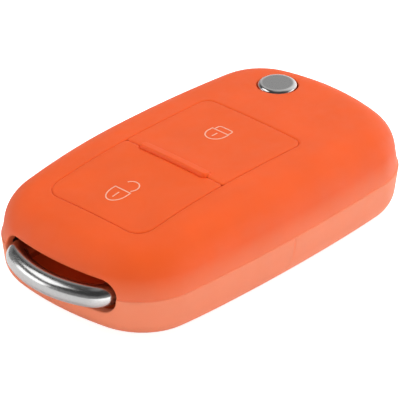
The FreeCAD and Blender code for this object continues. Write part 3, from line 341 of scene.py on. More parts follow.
def panel_distance(x, y):
    """How far a point lies outside the panel's edge; inside it is below nought."""
    radius = PANEL_FAR_CORNER if x > PANEL_CENTRE else PANEL_NEAR_CORNER
    across = abs(x - PANEL_CENTRE) - (PANEL_FAR - PANEL_NEAR) / 2 + radius
    along = abs(y) - PANEL_HALF + radius
    return min(max(across, along), 0.0) + math.hypot(max(across, 0.0), max(along, 0.0)) - radius


def panel_point(way, offset):
    """The place this far outside the panel's edge, along a way from the panel's middle."""
    middle = Vector((PANEL_CENTRE, 0))
    return middle + way * last_inside(SEARCH, lambda reach: panel_distance(*(middle + way * reach)) < offset)


def lip_profile():
    """Steps outward and down along the soft edge of a groove, which ends in a slope."""
    return [(LIP * math.sin(turn) / math.sin(LIP_TURN),
             LIP_DROP * (1 - math.cos(turn)) / (1 - math.cos(LIP_TURN)))
            for turn in even(0, LIP_TURN, LIP_STEPS)[1:]]


# The cover
def cover_rings(columns):
    """Closed rings of points: along the underside, up the outside, over the panel's lip and back inside."""
    rings = []
    outer_low, inner_low = ([rim(*column, inset, *LOWER) for column in columns] for inset in (0.0, WALL))
    outer_high, inner_high = ([rim(*column, inset, *UPPER) for column in columns] for inset in (0.0, WALL))

    def rim_edges(rims):
        """Where the rims end, on the crown or the underside."""
        return [point - normal * profile[-1][0] for (point, normal), profile in zip(columns, rims)]

    def under_ring(rims, share, inset):
        """A ring on the underside, at a share of the way from its rim to the middle."""
        ring = []
        for edge in rim_edges(rims):
            spot = Vector((edge.x * (1 - share * UNDER_SQUEEZE), edge.y * (1 - share)))
            ring.append(Vector((spot.x, spot.y, back(spot.x, spot.y) + inset)))
        rings.append(ring)

    def wall_ring(places):
        """A ring through an inward distance and a height for each column."""
        ring = []
        for (point, normal), (inward, height) in zip(columns, places):
            spot = point - normal * (inward + mark_depth(point, height))
            ring.append(Vector((spot.x, spot.y, height)))
        rings.append(ring)

    def between(starts, ends, share):
        return [(blend(start[0], end[0], share), blend(start[1], end[1], share))
                for start, end in zip(starts, ends)]

    def top_ring(spots, depth):
        """A ring this deep under the crown."""
        rings.append([Vector((spot.x, spot.y, crown(spot.x, spot.y) - depth)) for spot in spots])

    def part_way(starts, ends, share):
        return [start.lerp(end, share) for start, end in zip(starts, ends)]

    for share in UNDER_SHARES:
        under_ring(outer_low, share, 0.0)
    for step in range(RIM_STEPS, -1, -1):
        wall_ring([profile[step] for profile in outer_low])
    band_foot = [profile[0] for profile in outer_low]
    band_edge = [(BAND_EDGE * math.tan(LOWER_DRAFT), SEAM - BAND_EDGE)] * len(columns)
    for share in BAND_SHARES:
        wall_ring(between(band_foot, band_edge, share))
    seam_edges = [[(inward, SEAM + rise)] * len(columns) for inward, rise in SEAM_PROFILE]
    for seam_edge in seam_edges:
        wall_ring(seam_edge)
    wall_top = [profile[0] for profile in outer_high]
    for share in WALL_SHARES:
        wall_ring(between(seam_edges[-1], wall_top, share))
    for step in range(RIM_STEPS + 1):
        wall_ring([profile[step] for profile in outer_high])

    edges = rim_edges(outer_high)
    ways = [(edge - Vector((PANEL_CENTRE, 0))).normalized() for edge in edges]

    def panel_spots(offset):
        return [panel_point(way, offset) for way in ways]

    outer_lip = panel_spots(PAD_GAP + LIP + LIP_MARGIN)
    for share in TOP_SHARES:
        top_ring(part_way(edges, outer_lip, share), 0.0)
    for out, drop in [(0.0, 0.0)] + lip_profile():
        top_ring(panel_spots(PAD_GAP + LIP - out), drop)
    top_ring(panel_spots(PAD_GAP), LEDGE_DEPTH)
    ledge = panel_spots(-LEDGE)
    top_ring(ledge, LEDGE_DEPTH)
    top_ring(ledge, WALL)
    inner_edges = rim_edges(inner_high)
    for share in LEDGE_SHARES:
        top_ring(part_way(ledge, inner_edges, share), WALL)
    for step in range(RIM_STEPS, -1, -2):
        wall_ring([profile[step] for profile in inner_high])
    for step in range(0, RIM_STEPS + 1, 2):
        wall_ring([profile[step] for profile in inner_low])
    for share in UNDER_INNER_SHARES:
        under_ring(inner_low, share, WALL)
    return rings


def strip_faces(ring, start):
    """Triangles across the middle of the underside, from one end of a ring to the other."""
    count = len(ring)
    order = sorted(range(count), key=lambda index: ring[index].x)
    last = order[-1]
    upper = lower = order[0]
    faces = []
    while upper != last or lower != last:
        up, down = (upper - 1) % count, (lower + 1) % count
        low_side = upper == last or (lower != last and ring[down].x < ring[up].x)
        tip = down if low_side else up
        if len({upper, lower, tip}) == 3:
            faces.append((start + upper, start + lower, start + tip))
        upper, lower = (upper, tip) if low_side else (tip, lower)
    return faces


def cover_mesh():
    rings = cover_rings(outline_columns(MARK_STEP))
    sides = len(rings[0])
    faces = ring_faces(len(rings), sides)
    faces += strip_faces(rings[0], 0) + strip_faces(rings[-1], (len(rings) - 1) * sides)
    return [spot for ring in rings for spot in ring], faces


def flare(hit, away, inward, radius, reach, steps):
    """A cutter's side at one place: from outside the skin, round the soft lip, to the inside."""
    def lip(turn):
        return hit + away * radius * (1 - math.sin(turn)) + inward * radius * (1 - math.cos(turn))

    out_reach, in_reach = reach
    slope = away * math.cos(FLARE_START) - inward * math.sin(FLARE_START)
    outside = lip(FLARE_START) + slope * FLARE_OVER
    bend = [lip(turn) for turn in even(FLARE_START, math.pi / 2, steps)]
    return [outside - inward * out_reach, outside] + bend + [hit + inward * in_reach]


def flared_cutter(name, skin, spots, inward, radius, reach):
    """A plug whose edge opens in a soft rounding where it meets the skin.

    Each spot is a point outside the skin and the way that points off the opening there."""
    profiles = []
    for spot, away in spots:
        hit, normal, _, _ = skin.ray_cast(spot, inward)
        away = (away - normal * away.dot(normal)).normalized()
        profiles.append(flare(hit, away, inward, radius, reach, FLARE_STEPS))
    return make_tube(name, list(zip(*profiles)))


def button_spots():
    """Points above the edge of the release button's hole."""
    middle = Vector((BUTTON.x, BUTTON.y, RAY_START))
    ways = [Vector((math.cos(turn), math.sin(turn), 0)) for turn in even(0, math.tau, BUTTON_STEPS)[:-1]]
    return [(middle + way * BUTTON_HOLE, way) for way in ways]


def window_spots():
    """Points in front of the edge of the key-ring window."""
    middle, bend = (WINDOW_LOW + WINDOW_HIGH) / 2, (WINDOW_HIGH - WINDOW_LOW) / 2
    flat = WINDOW_HALF - bend
    spots = []
    for side, first in ((1, 0.0), (-1, math.pi)):
        way = Vector((0, 0, side))
        for y in even(-side * flat, side * flat, WINDOW_FLAT_STEPS)[:-1]:
            spots.append((Vector((-RAY_START, y, middle)) + way * bend, way))
        for turn in even(first, first + math.pi, WINDOW_BEND_STEPS)[:-1]:
            way = Vector((0, math.sin(turn), math.cos(turn)))
            spots.append((Vector((-RAY_START, side * flat, middle)) + way * bend, way))
    return spots


def slot_cutter(skin):
    """The blade's slot, swept along the left side and round the release-button end."""
    places = []
    for point, normal in outline_columns(COLUMN_STEP):
        left_side = point.y > 0 and point.x >= SLOT_START
        far_end = point.x > 0 and SLOT_END <= point.y <= 0
        if left_side or far_end:
            places.append((point, normal.to_3d()))
    places.sort(key=lambda place: math.atan2(place[0].y, place[0].x))
    loops = []
    for point, out in places:
        halves = []
        for edge, up in ((SLOT_LOW, -1), (SLOT_HIGH, 1)):
            hit, _, _, _ = skin.ray_cast(Vector((point.x, point.y, edge)) + out * RAY_START, -out)
            halves.append(flare(hit, Vector((0, 0, up)), -out, SLOT_LIP, SLOT_REACH, SLOT_STEPS))
        lower, upper = halves
        loops.append(lower + upper[::-1])
    return make_tube("blade_slot", loops)


def leg_drill(side):
    """A round cutter for a leg of the key-ring bar."""
    radius = LEG_RADIUS + LEG_PLAY
    loops = []
    for x in (POCKET_BACK - DRILL_REACH, POCKET_BACK + DRILL_REACH):
        loops.append([Vector((x, side * LEG + radius * math.cos(turn), LEG_LEVEL + radius * math.sin(turn)))
                      for turn in even(0, math.tau, DRILL_SIDES)[:-1]])
    return make_tube("leg_drill", loops)


def window_pocket(skin):
    """The silicone pocket behind the key-ring window, with a hole for each leg of the bar."""
    profiles = []
    for spot, away in window_spots():
        inner = spot + away * POCKET_INSET
        outer = inner + away * POCKET_WALL
        hit, _, _, _ = skin.ray_cast(inner, Vector((1, 0, 0)))
        mouth = hit.x + POCKET_MOUTH
        corners = ((POCKET_BACK - POCKET_FLOOR, inner), (mouth, inner), (mouth, outer), (POCKET_BACK, outer))
        profiles.append([Vector((x, edge.y, edge.z)) for x, edge in corners])
    pocket = make_tube("window_pocket", list(zip(*profiles)))
    cut(pocket, [leg_drill(side) for side in (-1, 1)])
    return pocket


def build_cover():
    """The cover with its three openings, and the pocket behind the key-ring window."""
    vertices, faces = cover_mesh()
    piece = make_object("silicone_cover", vertices, faces)
    skin = BVHTree.FromPolygons(vertices, faces)
    down, inward = Vector((0, 0, -1)), Vector((1, 0, 0))
    button = flared_cutter("button_hole", skin, button_spots(), down, BUTTON_LIP, BUTTON_REACH)
    window = flared_cutter("loop_window", skin, window_spots(), inward, WINDOW_LIP, WINDOW_REACH)
    cut(piece, [button, window, slot_cutter(skin)])
    return piece, window_pocket(skin)


# The two pads
def bar_past(y):
    """How far y lies past the straight part of the raised bar."""
    return max(0.0, y - (BAR_LEFT - BAR_BEND), (BAR_RIGHT + BAR_BEND) - y)


def bar_height(x, y):
    inside = BAR_BEND - math.hypot(x - BAR_MIDDLE, bar_past(y))
    if inside <= 0:
        return 0.0
    edge = min(1.0, inside / BAR_EDGE)
    along = (x - BAR_NEAR) / (BAR_FAR - BAR_NEAR)  # it falls gently towards the lock pad
    return blend(BAR_RISE, BAR_RISE_FAR, along) * math.sqrt(1 - (1 - edge) ** 2)


def dish(x, y, near, far, depth):
    """How deep a pad is dished: nothing by its edges, all in its middle."""
    inset = min(x - near, far - x, PANEL_HALF - abs(y))
    return depth * ease((inset - DISH_MARGIN) / DISH_RUN)


def lock_height(x, y):
    return crown(x, y) - dish(x, y, DIVIDER, PANEL_FAR, LOCK_DISH) + bar_height(x, y)


def unlock_height(x, y):
    return crown(x, y) - dish(x, y, PANEL_NEAR, DIVIDER, UNLOCK_DISH)


def lines(*stretches):
    """Places along a pad: start, end and step of each stretch."""
    spots = []
    for start, end, step in stretches:
        spots += even(start, end, max(1, round(abs(end - start) / step)))[:-1]
    return spots + [stretches[-1][1]]


def lines_across(corner):
    """Places across a pad, close together at its rounded corners and at the ends of the raised bar."""
    inner = PAD_HALF - corner
    bends = [inner + corner * math.sin(turn) for turn in even(0, math.pi / 2, CORNER_STEPS)[1:]]
    spots = [-bend for bend in bends] + lines((-inner, inner, PAD_STEP)) + bends
    spots += lines((BAR_RIGHT - BAR_END_OUT, BAR_RIGHT + BAR_END_IN, BAR_STEP))
    spots += lines((BAR_LEFT - BAR_END_IN, BAR_LEFT + BAR_END_OUT, BAR_STEP))
    spots.sort()
    kept = spots[:1]
    for spot in spots[1:]:
        if spot - kept[-1] > LINE_GAP:
            kept.append(spot)
    kept[-1] = spots[-1]
    return kept


def rounded_limit(y, limit, corner):
    """Where the pad's end lies at y, with its corner rounded."""
    past = max(0.0, abs(y) - (PAD_HALF - corner))
    return limit - corner + math.sqrt(max(0.0, corner ** 2 - min(past, corner) ** 2))


def round_bar(y, plain, grown):
    """The line between the pads, which goes round the near side of the raised bar."""
    past, bend = bar_past(y), BAR_BEND + grown
    if past >= bend:
        return plain
    return min(plain, BAR_MIDDLE - math.sqrt(bend ** 2 - past ** 2))


def pad_mesh(across, along, near_edge, far_edge, height):
    """A closed pad: its crowned top, soft edge and skirt.

    The edges give where the pad starts and ends along x at each y, and height gives its top."""
    grid = [[Vector((blend(near_edge(y), far_edge(y), share), y)) for share in along] for y in across]
    rows, cols = len(across), len(along)
    border = [(0, col) for col in range(cols)] + [(row, cols - 1) for row in range(1, rows)]
    border += [(rows - 1, col) for col in range(cols - 2, -1, -1)]
    border += [(row, 0) for row in range(rows - 2, 0, -1)]
    edge = [grid[row][col] for row, col in border]
    count = len(edge)
    normals = []
    for here in range(count):
        step = edge[(here + 1) % count] - edge[here - 1]
        normals.append(Vector((step.y, -step.x)).normalized())
    vertices = [Vector((spot.x, spot.y, height(spot.x, spot.y))) for row in grid for spot in row]
    faces = grid_faces(rows, cols)
    previous = [row * cols + col for row, col in border]
    for out, drop in lip_profile() + [(LIP, PAD_DEPTH)]:
        loop = range(len(vertices), len(vertices) + count)
        for point, normal in zip(edge, normals):
            spot = point + normal * out
            sink = drop + bar_height(point.x, point.y) * min(1.0, drop / LIP_DROP)
            vertices.append(Vector((spot.x, spot.y, height(point.x, point.y) - sink)))
        faces += stitch(previous, loop)
        previous = loop
    start = len(vertices)
    vertices += [Vector((spot.x, spot.y, crown(spot.x, spot.y) - PAD_DEPTH)) for row in grid for spot in row]
    faces += grid_faces(rows, cols, start)
    faces += stitch(previous, [start + row * cols + col for row, col in border])
    return vertices, faces


def build_lock_pad():
    corner = PANEL_FAR_CORNER - LIP
    return make_object("lock_pad_skin", *pad_mesh(
        lines_across(corner), lines(*LOCK_STRETCHES),
        lambda y: round_bar(y, DIVIDER + SPLIT, -LIP),
        lambda y: rounded_limit(y, PANEL_FAR - LIP, corner), lock_height))


def build_unlock_pad():
    corner = PANEL_NEAR_CORNER - LIP
    return make_object("unlock_pad_skin", *pad_mesh(
        lines_across(corner), lines(*UNLOCK_STRETCHES),
        lambda y: -rounded_limit(y, -PANEL_NEAR - LIP, corner),
        lambda y: round_bar(y, DIVIDER - SPLIT, LIP + PAD_GAP), unlock_height))


# The printed padlock signs
def ribbon(name, paths, height):
    """Flat lines that lie on a pad."""
    vertices, faces = [], []
    for path in paths:
        faces += tube_faces(len(path), SIGN_SIDES, len(vertices))
        for here, point in enumerate(path):
            way = (path[min(len(path) - 1, here + 1)] - path[max(0, here - 1)]).normalized()
            side = Vector((-way.y, way.x)) * SIGN_WIDTH / 2
            left, right = point + side, point - side
            corners = ((left, SIGN_LIFT), (right, SIGN_LIFT), (right, -SIGN_SUNK), (left, -SIGN_SUNK))
            for spot, lift in corners:
                vertices.append(Vector((spot.x, spot.y, height(spot.x, spot.y) + lift)))
    return make_object(name, vertices, faces)


def polyline(points):
    """A path through the points, with short straight pieces so that it lies on the pad."""
    path = []
    for start, end in zip(points, points[1:]):
        count = max(1, round((end - start).length / SIGN_STEP))
        path += [start.lerp(end, share) for share in even(0, 1, count)[:-1]]
    return path + [points[-1]]


def rounded(points, radius):
    """The points with their inner corners rounded."""
    path = [points[0]]
    for before, here, after in zip(points, points[1:], points[2:]):
        start = here + (before - here).normalized() * radius
        end = here + (after - here).normalized() * radius
        path += [blend(blend(start, here, share), blend(here, end, share), share)
                 for share in even(0, 1, BEND_STEPS)]
    return path + [points[-1]]


def arc(middle, radius, first, last, squash=1.0):
    """Points along an arc; nought degrees points to the release button, ninety to the left side."""
    turns = [math.radians(angle) for angle in even(first, last, ARC_STEPS)]
    return [middle + Vector((radius * squash * math.cos(turn), radius * math.sin(turn))) for turn in turns]


def padlock(shoulder, foot, left, right, shackle):
    """Body, brow line, shackle and keyhole of a padlock sign that stands towards the release button."""
    middle = Vector((shoulder - BOWL_DROP, (left + right) / 2))
    half = (left - right) / 2
    bowl = arc(middle, half, 90, 270, (middle.x - foot) / half)
    body = [Vector((shoulder, left))] + bowl + [Vector((shoulder, right))]
    brow = [Vector((shoulder, left + BROW)), Vector((shoulder, right - BROW))]
    hole = [Vector((blend(foot, shoulder, share), middle.y)) for share in (HOLE_LOW, HOLE_HIGH)]
    return [polyline(path) for path in (body, brow, shackle, hole)]


def build_lock_sign():
    corners = ((LOCK_SHOULDER, SHACKLE_RIGHT), (SHACKLE_TOP, SHACKLE_RIGHT),
               (SHACKLE_TOP, SHACKLE_LEFT), (LOCK_SHOULDER, SHACKLE_LEFT))
    shackle = rounded([Vector(corner) for corner in corners], SHACKLE_BEND)
    paths = padlock(LOCK_SHOULDER, LOCK_FOOT, LOCK_LEFT, LOCK_RIGHT, shackle)
    return ribbon("lock_sign", paths, lock_height)


def build_unlock_sign():
    shackle = arc(OPEN_SHACKLE, OPEN_RADIUS, OPEN_FIRST, OPEN_LAST)
    paths = padlock(UNLOCK_SHOULDER, UNLOCK_FOOT, UNLOCK_LEFT, UNLOCK_RIGHT, shackle)
    return ribbon("unlock_sign", paths, unlock_height)


# The coil spring
def build_coil():
    """Round wire wound between the pivot's collar and the release button."""
    low, high = (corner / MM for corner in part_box("flip_spring"))
    middle, radius = (low + high) / 2, (high.x - low.x) / 2 - WIRE
    loops = []
    for share in even(0, 1, COIL_TURNS * COIL_STEPS):
        turn = math.tau * COIL_TURNS * share
        out = Vector((math.cos(turn), math.sin(turn), 0))
        core = Vector((middle.x, middle.y, blend(low.z + WIRE, high.z - WIRE, share))) + out * radius
        loops.append([core + out * WIRE * math.cos(lean) + Vector((0, 0, WIRE * math.sin(lean)))
                      for lean in even(0, math.tau, WIRE_SIDES)[:-1]])
    return make_tube("spring_coil", loops)


# Helpers for materials
NOISE_LOW, NOISE_HIGH = 0.3, 0.7  # most of a noise lies between these
PLAIN_MATHS, VECTOR_MATHS = "ShaderNodeMath", "ShaderNodeVectorMath"


def maths(tree, kind, operation, *values):
    """A maths node, fed by the outputs of other nodes and by plain values."""
    node = tree.nodes.new(kind)
    node.operation = operation
    for socket, value in zip(node.inputs, values):
        if isinstance(value, bpy.types.NodeSocket):
            tree.links.new(value, socket)
        else:
            socket.default_value = value
    return node


def map_range(tree, source, low, high, first, last):
    """Goes from low to high where the source goes from first to last."""
    node = tree.nodes.new("ShaderNodeMapRange")
    for socket, value in (("From Min", first), ("From Max", last), ("To Min", low), ("To Max", high)):
        node.inputs[socket].default_value = value
    tree.links.new(source, node.inputs["Value"])
    return node.outputs["Result"]


def height_in(tree, source):
    """The upward part of a vector."""
    node = tree.nodes.new("ShaderNodeSeparateXYZ")
    tree.links.new(source, node.inputs["Vector"])
    return node.outputs["Z"]


def scaled(colour, share):
    return tuple(min(1.0, channel * share) for channel in colour)


class Finish:
    """A material with the parts that most finishes share."""

    def __init__(self, name, colour, metallic=0.0, roughness=0.5):
        self.material = bpy.data.materials.new(name)
        self.material.use_nodes = True
        self.tree = self.material.node_tree
        self.shader = self.tree.nodes["Principled BSDF"]
        self.set("Base Color", (*colour, 1))
        self.set("Metallic", metallic)
        self.set("Roughness", roughness)
        self.spot = self.tree.nodes.new("ShaderNodeTexCoord").outputs["Object"]

    def set(self, socket, value):
        self.shader.inputs[socket].default_value = value

    def link(self, start, end):
        self.tree.links.new(start, end)

    def drive(self, socket, source):
        self.link(source, self.shader.inputs[socket])

    def noise(self, size, detail=3.0, stretch=(1, 1, 1)):
        """Noise with features of about this size in mm."""
        mapping = self.tree.nodes.new("ShaderNodeMapping")
        mapping.inputs["Scale"].default_value = [share / (size * MM) for share in stretch]
        self.link(self.spot, mapping.inputs["Vector"])
        node = self.tree.nodes.new("ShaderNodeTexNoise")
        for socket, value in (("Scale", 1.0), ("Detail", detail), ("Roughness", 0.55)):
            node.inputs[socket].default_value = value
        self.link(mapping.outputs["Vector"], node.inputs["Vector"])
        return node.outputs["Fac"]

    def ramp(self, source, low, high, first=NOISE_LOW, last=NOISE_HIGH):
        return map_range(self.tree, source, low, high, first, last)

    def tint(self, source, start, end, first=NOISE_LOW, last=NOISE_HIGH):
        """Colours from start to end where the source goes from first to last."""
        node = self.tree.nodes.new("ShaderNodeValToRGB")
        for point, place, colour in zip(node.color_ramp.elements, (first, last), (start, end)):
            point.position = place
            point.color = (*colour, 1)
        self.link(source, node.inputs["Fac"])
        return node.outputs["Color"]

    def mottle(self, source, colour, dark, light, first=NOISE_LOW, last=NOISE_HIGH):
        """A colour between two shares of its brightness."""
        return self.tint(source, scaled(colour, dark), scaled(colour, light), first, last)

    def bump(self, source, depth, strength):
        """Relief of this depth in mm."""
        node = self.tree.nodes.new("ShaderNodeBump")
        node.inputs["Strength"].default_value = strength
        node.inputs["Distance"].default_value = depth * MM
        self.link(source, node.inputs["Height"])
        self.drive("Normal", node.outputs["Normal"])

    def put_on(self, piece):
        piece.data.materials.clear()
        piece.data.materials.append(self.material)


# Materials
# the second colour is a painted sheen: pale pink in place of the bright floor's reflection on the lower
# walls
ORANGE, PAINTED_SHEEN_PINK = (0.87, 0.105, 0.012), (0.95, 0.28, 0.145)
WALL_SHEEN_SHARE, WALL_SHEEN_FADE = 0.48, 3.8  # share of painted sheen at the seam, and how far above it ends
BAND_SHEEN_SHARE, BAND_SHEEN_START, BAND_SHEEN_STOP = 0.42, 0.01, 0.06  # more painted sheen on the lower band, up to the seam's step
PEACH, MASK_GREEN = (0.93, 0.5, 0.36), (0.02, 0.16, 0.06)
SATIN, POLISHED = (0.35, 0.347, 0.345), (0.66, 0.655, 0.65)
BUTTON_FLAT, BUTTON_ROUND = 2.45, 2.75  # radii where the satin top ends and the rim starts
POLISHED_ROUGHNESS = 0.09


def silicone(name, with_painted_sheen):
    """Matt orange silicone; with the painted sheen it gets paler from above the seam down to the lower band,
    a painted reflection of the bright floor and lamps rather than a colour of the rubber.
    """
    finish = Finish(name, ORANGE)
    cloud = finish.noise(size=9.0, detail=2.0)
    colour = finish.mottle(cloud, ORANGE, dark=0.965, light=1.03)
    if with_painted_sheen:
        # painted sheen: paler by height near the seam and paler still on the lower band, in place of
        # reflected light
        height = height_in(finish.tree, finish.spot)
        wall = finish.ramp(height, WALL_SHEEN_SHARE, 0.0, SEAM * MM, (SEAM + WALL_SHEEN_FADE) * MM)
        band = finish.ramp(height, BAND_SHEEN_SHARE, 0.0, (SEAM + BAND_SHEEN_START) * MM, (SEAM + BAND_SHEEN_STOP) * MM)
        share = maths(finish.tree, PLAIN_MATHS, "ADD", wall, band).outputs["Value"]
        mix = finish.tree.nodes.new("ShaderNodeMix")
        mix.data_type = "RGBA"
        first_colour, sheen_colour, mixed_colour = mix.inputs[6], mix.inputs[7], mix.outputs[2]
        finish.link(share, mix.inputs["Factor"])
        finish.link(colour, first_colour)
        finish.link(finish.mottle(cloud, PAINTED_SHEEN_PINK, dark=0.97, light=1.03), sheen_colour)
        colour = mixed_colour
    finish.drive("Base Color", colour)
    finish.drive("Roughness", finish.ramp(finish.noise(size=2.2), low=0.56, high=0.66))
    finish.bump(finish.noise(size=0.16, detail=2.0), depth=0.004, strength=0.6)
    finish.set("Specular IOR Level", 0.5)
    finish.set("Subsurface Weight", 0.12)
    finish.set("Subsurface Radius", (1.0, 0.32, 0.14))
    finish.set("Subsurface Scale", 0.0012)
    return finish


def plastic(name, colour, roughness=0.5, grain=0.35):
    """Moulded plastic with a fine grain."""
    finish = Finish(name, colour, roughness=roughness)
    finish.drive("Base Color", finish.mottle(finish.noise(size=6.0), colour, dark=0.85, light=1.15))
    wear = finish.noise(size=1.5)
    finish.drive("Roughness", finish.ramp(wear, low=roughness - 0.06, high=roughness + 0.08))
    finish.bump(finish.noise(size=grain, detail=2.0), depth=0.012, strength=0.7)
    return finish


def metal(name, colour, roughness, stretch=(1, 1, 1), size=0.5, depth=0.002):
    """Metal with faint streaks, which run along the axis that the stretch makes small."""
    finish = Finish(name, colour, metallic=1.0, roughness=roughness)
    streaks = finish.noise(size, stretch=stretch)
    finish.drive("Base Color", finish.mottle(streaks, colour, dark=0.93, light=1.05, first=0.25, last=0.75))
    finish.drive("Roughness", finish.ramp(streaks, low=roughness * 0.85, high=roughness * 1.2))
    finish.bump(streaks, depth, strength=0.5)
    return finish


def button_finish():
    """A satin top inside a polished rounded rim."""
    finish = Finish("satin_chrome", POLISHED, metallic=1.0)
    tree = finish.tree
    shift = maths(tree, VECTOR_MATHS, "SUBTRACT", finish.spot, (BUTTON.x * MM, BUTTON.y * MM, 0))
    flat = maths(tree, VECTOR_MATHS, "MULTIPLY", shift.outputs["Vector"], (1, 1, 0))
    reach = maths(tree, VECTOR_MATHS, "LENGTH", flat.outputs["Vector"])
    rim_share = finish.ramp(reach.outputs["Value"], 0, 1, BUTTON_FLAT * MM, BUTTON_ROUND * MM)
    speck = finish.noise(size=0.6)
    mix = tree.nodes.new("ShaderNodeMix")
    mix.data_type = "FLOAT"
    mix.inputs["B"].default_value = POLISHED_ROUGHNESS
    finish.link(rim_share, mix.inputs["Factor"])
    finish.link(finish.ramp(speck, low=0.26, high=0.31), mix.inputs["A"])
    finish.drive("Roughness", mix.outputs["Result"])
    finish.drive("Base Color", finish.tint(rim_share, SATIN, POLISHED, first=0.0, last=1.0))
    finish.bump(speck, depth=0.0008, strength=0.4)
    return finish


def board_finish():
    """Green solder mask with tracks showing through."""
    finish = Finish("board_mask", MASK_GREEN, roughness=0.35)
    brick = finish.tree.nodes.new("ShaderNodeTexBrick")
    brick.inputs["Scale"].default_value = 420.0
    for socket, share in (("Color1", 1.0), ("Color2", 1.25), ("Mortar", 1.9)):
        brick.inputs[socket].default_value = (*scaled(MASK_GREEN, share), 1)
    finish.link(finish.spot, brick.inputs["Vector"])
    finish.drive("Base Color", brick.outputs["Color"])
    finish.bump(brick.outputs["Fac"], depth=0.02, strength=0.4)
    return finish


def sign_finish():
    """Pale print."""
    finish = Finish("pale_print", PEACH, roughness=0.55)
    finish.drive("Base Color", finish.mottle(finish.noise(size=0.4), PEACH, dark=0.92, light=1.05))
    return finish


# The soft and printed pieces
cover, pocket = build_cover()
lock_skin, unlock_skin = build_lock_pad(), build_unlock_pad()
lock_sign, unlock_sign = build_lock_sign(), build_unlock_sign()
spring_coil = build_coil()

# the outer silicone carries the painted sheen on its side walls and lower band
soft = silicone("soft_orange_silicone", with_painted_sheen=True)
for piece, node, body in ((cover, "cover_shell", "fob"), (lock_skin, "lock_pad", "lock_button"),
                          (unlock_skin, "unlock_pad", "unlock_button")):
    soft.put_on(piece)
    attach(piece, body)
    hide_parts(node)
silicone("inner_orange_silicone", with_painted_sheen=False).put_on(pocket)
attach(pocket, "fob")
sign = sign_finish()
for piece, body in ((lock_sign, "lock_button"), (unlock_sign, "unlock_button")):
    sign.put_on(piece)
    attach(piece, body)

# The spring, which on the real key gets shorter as the release button goes down; here it keeps one length
spring = metal("spring_wire", (0.5, 0.5, 0.51), roughness=0.32, size=0.12)
spring.put_on(spring_coil)
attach(spring_coil, "fob")
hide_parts("flip_spring")
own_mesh(spring_coil)

# Finishes of the CAD pieces
black = plastic("black_housing", (0.012, 0.012, 0.013))
rubber = plastic("key_rubber_grey", (0.03, 0.03, 0.032), roughness=0.7)
chrome = metal("polished_chrome", (0.52, 0.517, 0.513), roughness=0.21, size=0.4, depth=0.0006)
steel = metal("brushed_steel", (0.6, 0.6, 0.6), roughness=0.28, stretch=(0.04, 1, 1), size=0.16, depth=0.004)
cast = metal("cast_zinc", (0.42, 0.42, 0.43), roughness=0.4, size=0.3, depth=0.01)
pin = metal("pin_steel_grey", (0.55, 0.55, 0.56), roughness=0.3, stretch=(1, 1, 0.1), size=0.15)
tin = metal("tinned_steel", (0.66, 0.66, 0.65), roughness=0.35, size=0.4)
cell = metal("cell_case", (0.64, 0.64, 0.63), roughness=0.3, stretch=(1, 1, 0.2))
bronze = metal("contact_bronze", (0.7, 0.52, 0.26), roughness=0.32, size=0.4)
chip = plastic("chip_resin", (0.018, 0.018, 0.02), roughness=0.45, grain=0.15)
capsule = plastic("capsule_black", (0.02, 0.02, 0.022), roughness=0.4)
white = plastic("plunger_white", (0.55, 0.54, 0.5), roughness=0.45)
for finish, names in (
        (black, ("upper_case", "lower_case")), (rubber, ("lock_key", "unlock_key")), (chrome, ("key_loop",)),
        (button_finish(), ("release_button",)), (steel, ("key_blade",)), (cast, ("blade_hub",)),
        (pin, ("roll_pin", "pivot_pin", "pivot_screw")), (spring, ("flip_spring",)),
        (tin, ("lock_switch", "unlock_switch")), (white, ("lock_plunger", "unlock_plunger")),
        (board_finish(), ("circuit_board",)), (chip, ("board_chips",)), (cell, ("battery",)),
        (bronze, ("positive_contact", "negative_contact")), (capsule, ("transponder",)),
        (soft, ("cover_shell", "lock_pad", "unlock_pad"))):
    for name in names:
        finish.put_on(nodes[name])

# The floor, in metres
FLOOR_REACH, FLOOR_LEVEL = 3.0, -0.00002  # just under the part, so that no two faces share a plane
PAPER_GREY, PAPER_GLOW = 0.8, 0.8  # its colour, and its own light as the camera sees it
GLOW_WAY = (0.4, -0.92, 0)  # in mirror images it is brighter this way
GLOW_START, GLOW_STOP, GLOW_LOW, GLOW_HIGH = -0.01, 0.055, 0.27, 1.75


def paper_finish():
    """White paper, with light of its own for the camera and in mirror images."""
    material = bpy.data.materials.new("white_paper")
    material.use_nodes = True
    tree = material.node_tree
    tree.nodes.clear()
    spot = tree.nodes.new("ShaderNodeTexCoord").outputs["Object"]
    ray = tree.nodes.new("ShaderNodeLightPath").outputs
    along = maths(tree, VECTOR_MATHS, "DOT_PRODUCT", spot, GLOW_WAY).outputs["Value"]
    glint = map_range(tree, along, GLOW_LOW, GLOW_HIGH, GLOW_START, GLOW_STOP)
    mirrored = maths(tree, PLAIN_MATHS, "MULTIPLY", ray["Is Glossy Ray"], glint).outputs["Value"]
    level = maths(tree, PLAIN_MATHS, "MULTIPLY_ADD", ray["Is Camera Ray"], PAPER_GLOW, mirrored)
    glow = tree.nodes.new("ShaderNodeEmission")
    tree.links.new(level.outputs["Value"], glow.inputs["Strength"])
    diffuse = tree.nodes.new("ShaderNodeBsdfDiffuse")
    diffuse.inputs["Color"].default_value = (PAPER_GREY, PAPER_GREY, PAPER_GREY, 1)
    both = tree.nodes.new("ShaderNodeAddShader")
    tree.links.new(diffuse.outputs["BSDF"], both.inputs[0])
    tree.links.new(glow.outputs["Emission"], both.inputs[1])
    out = tree.nodes.new("ShaderNodeOutputMaterial")
    tree.links.new(both.outputs["Shader"], out.inputs["Surface"])
    return material


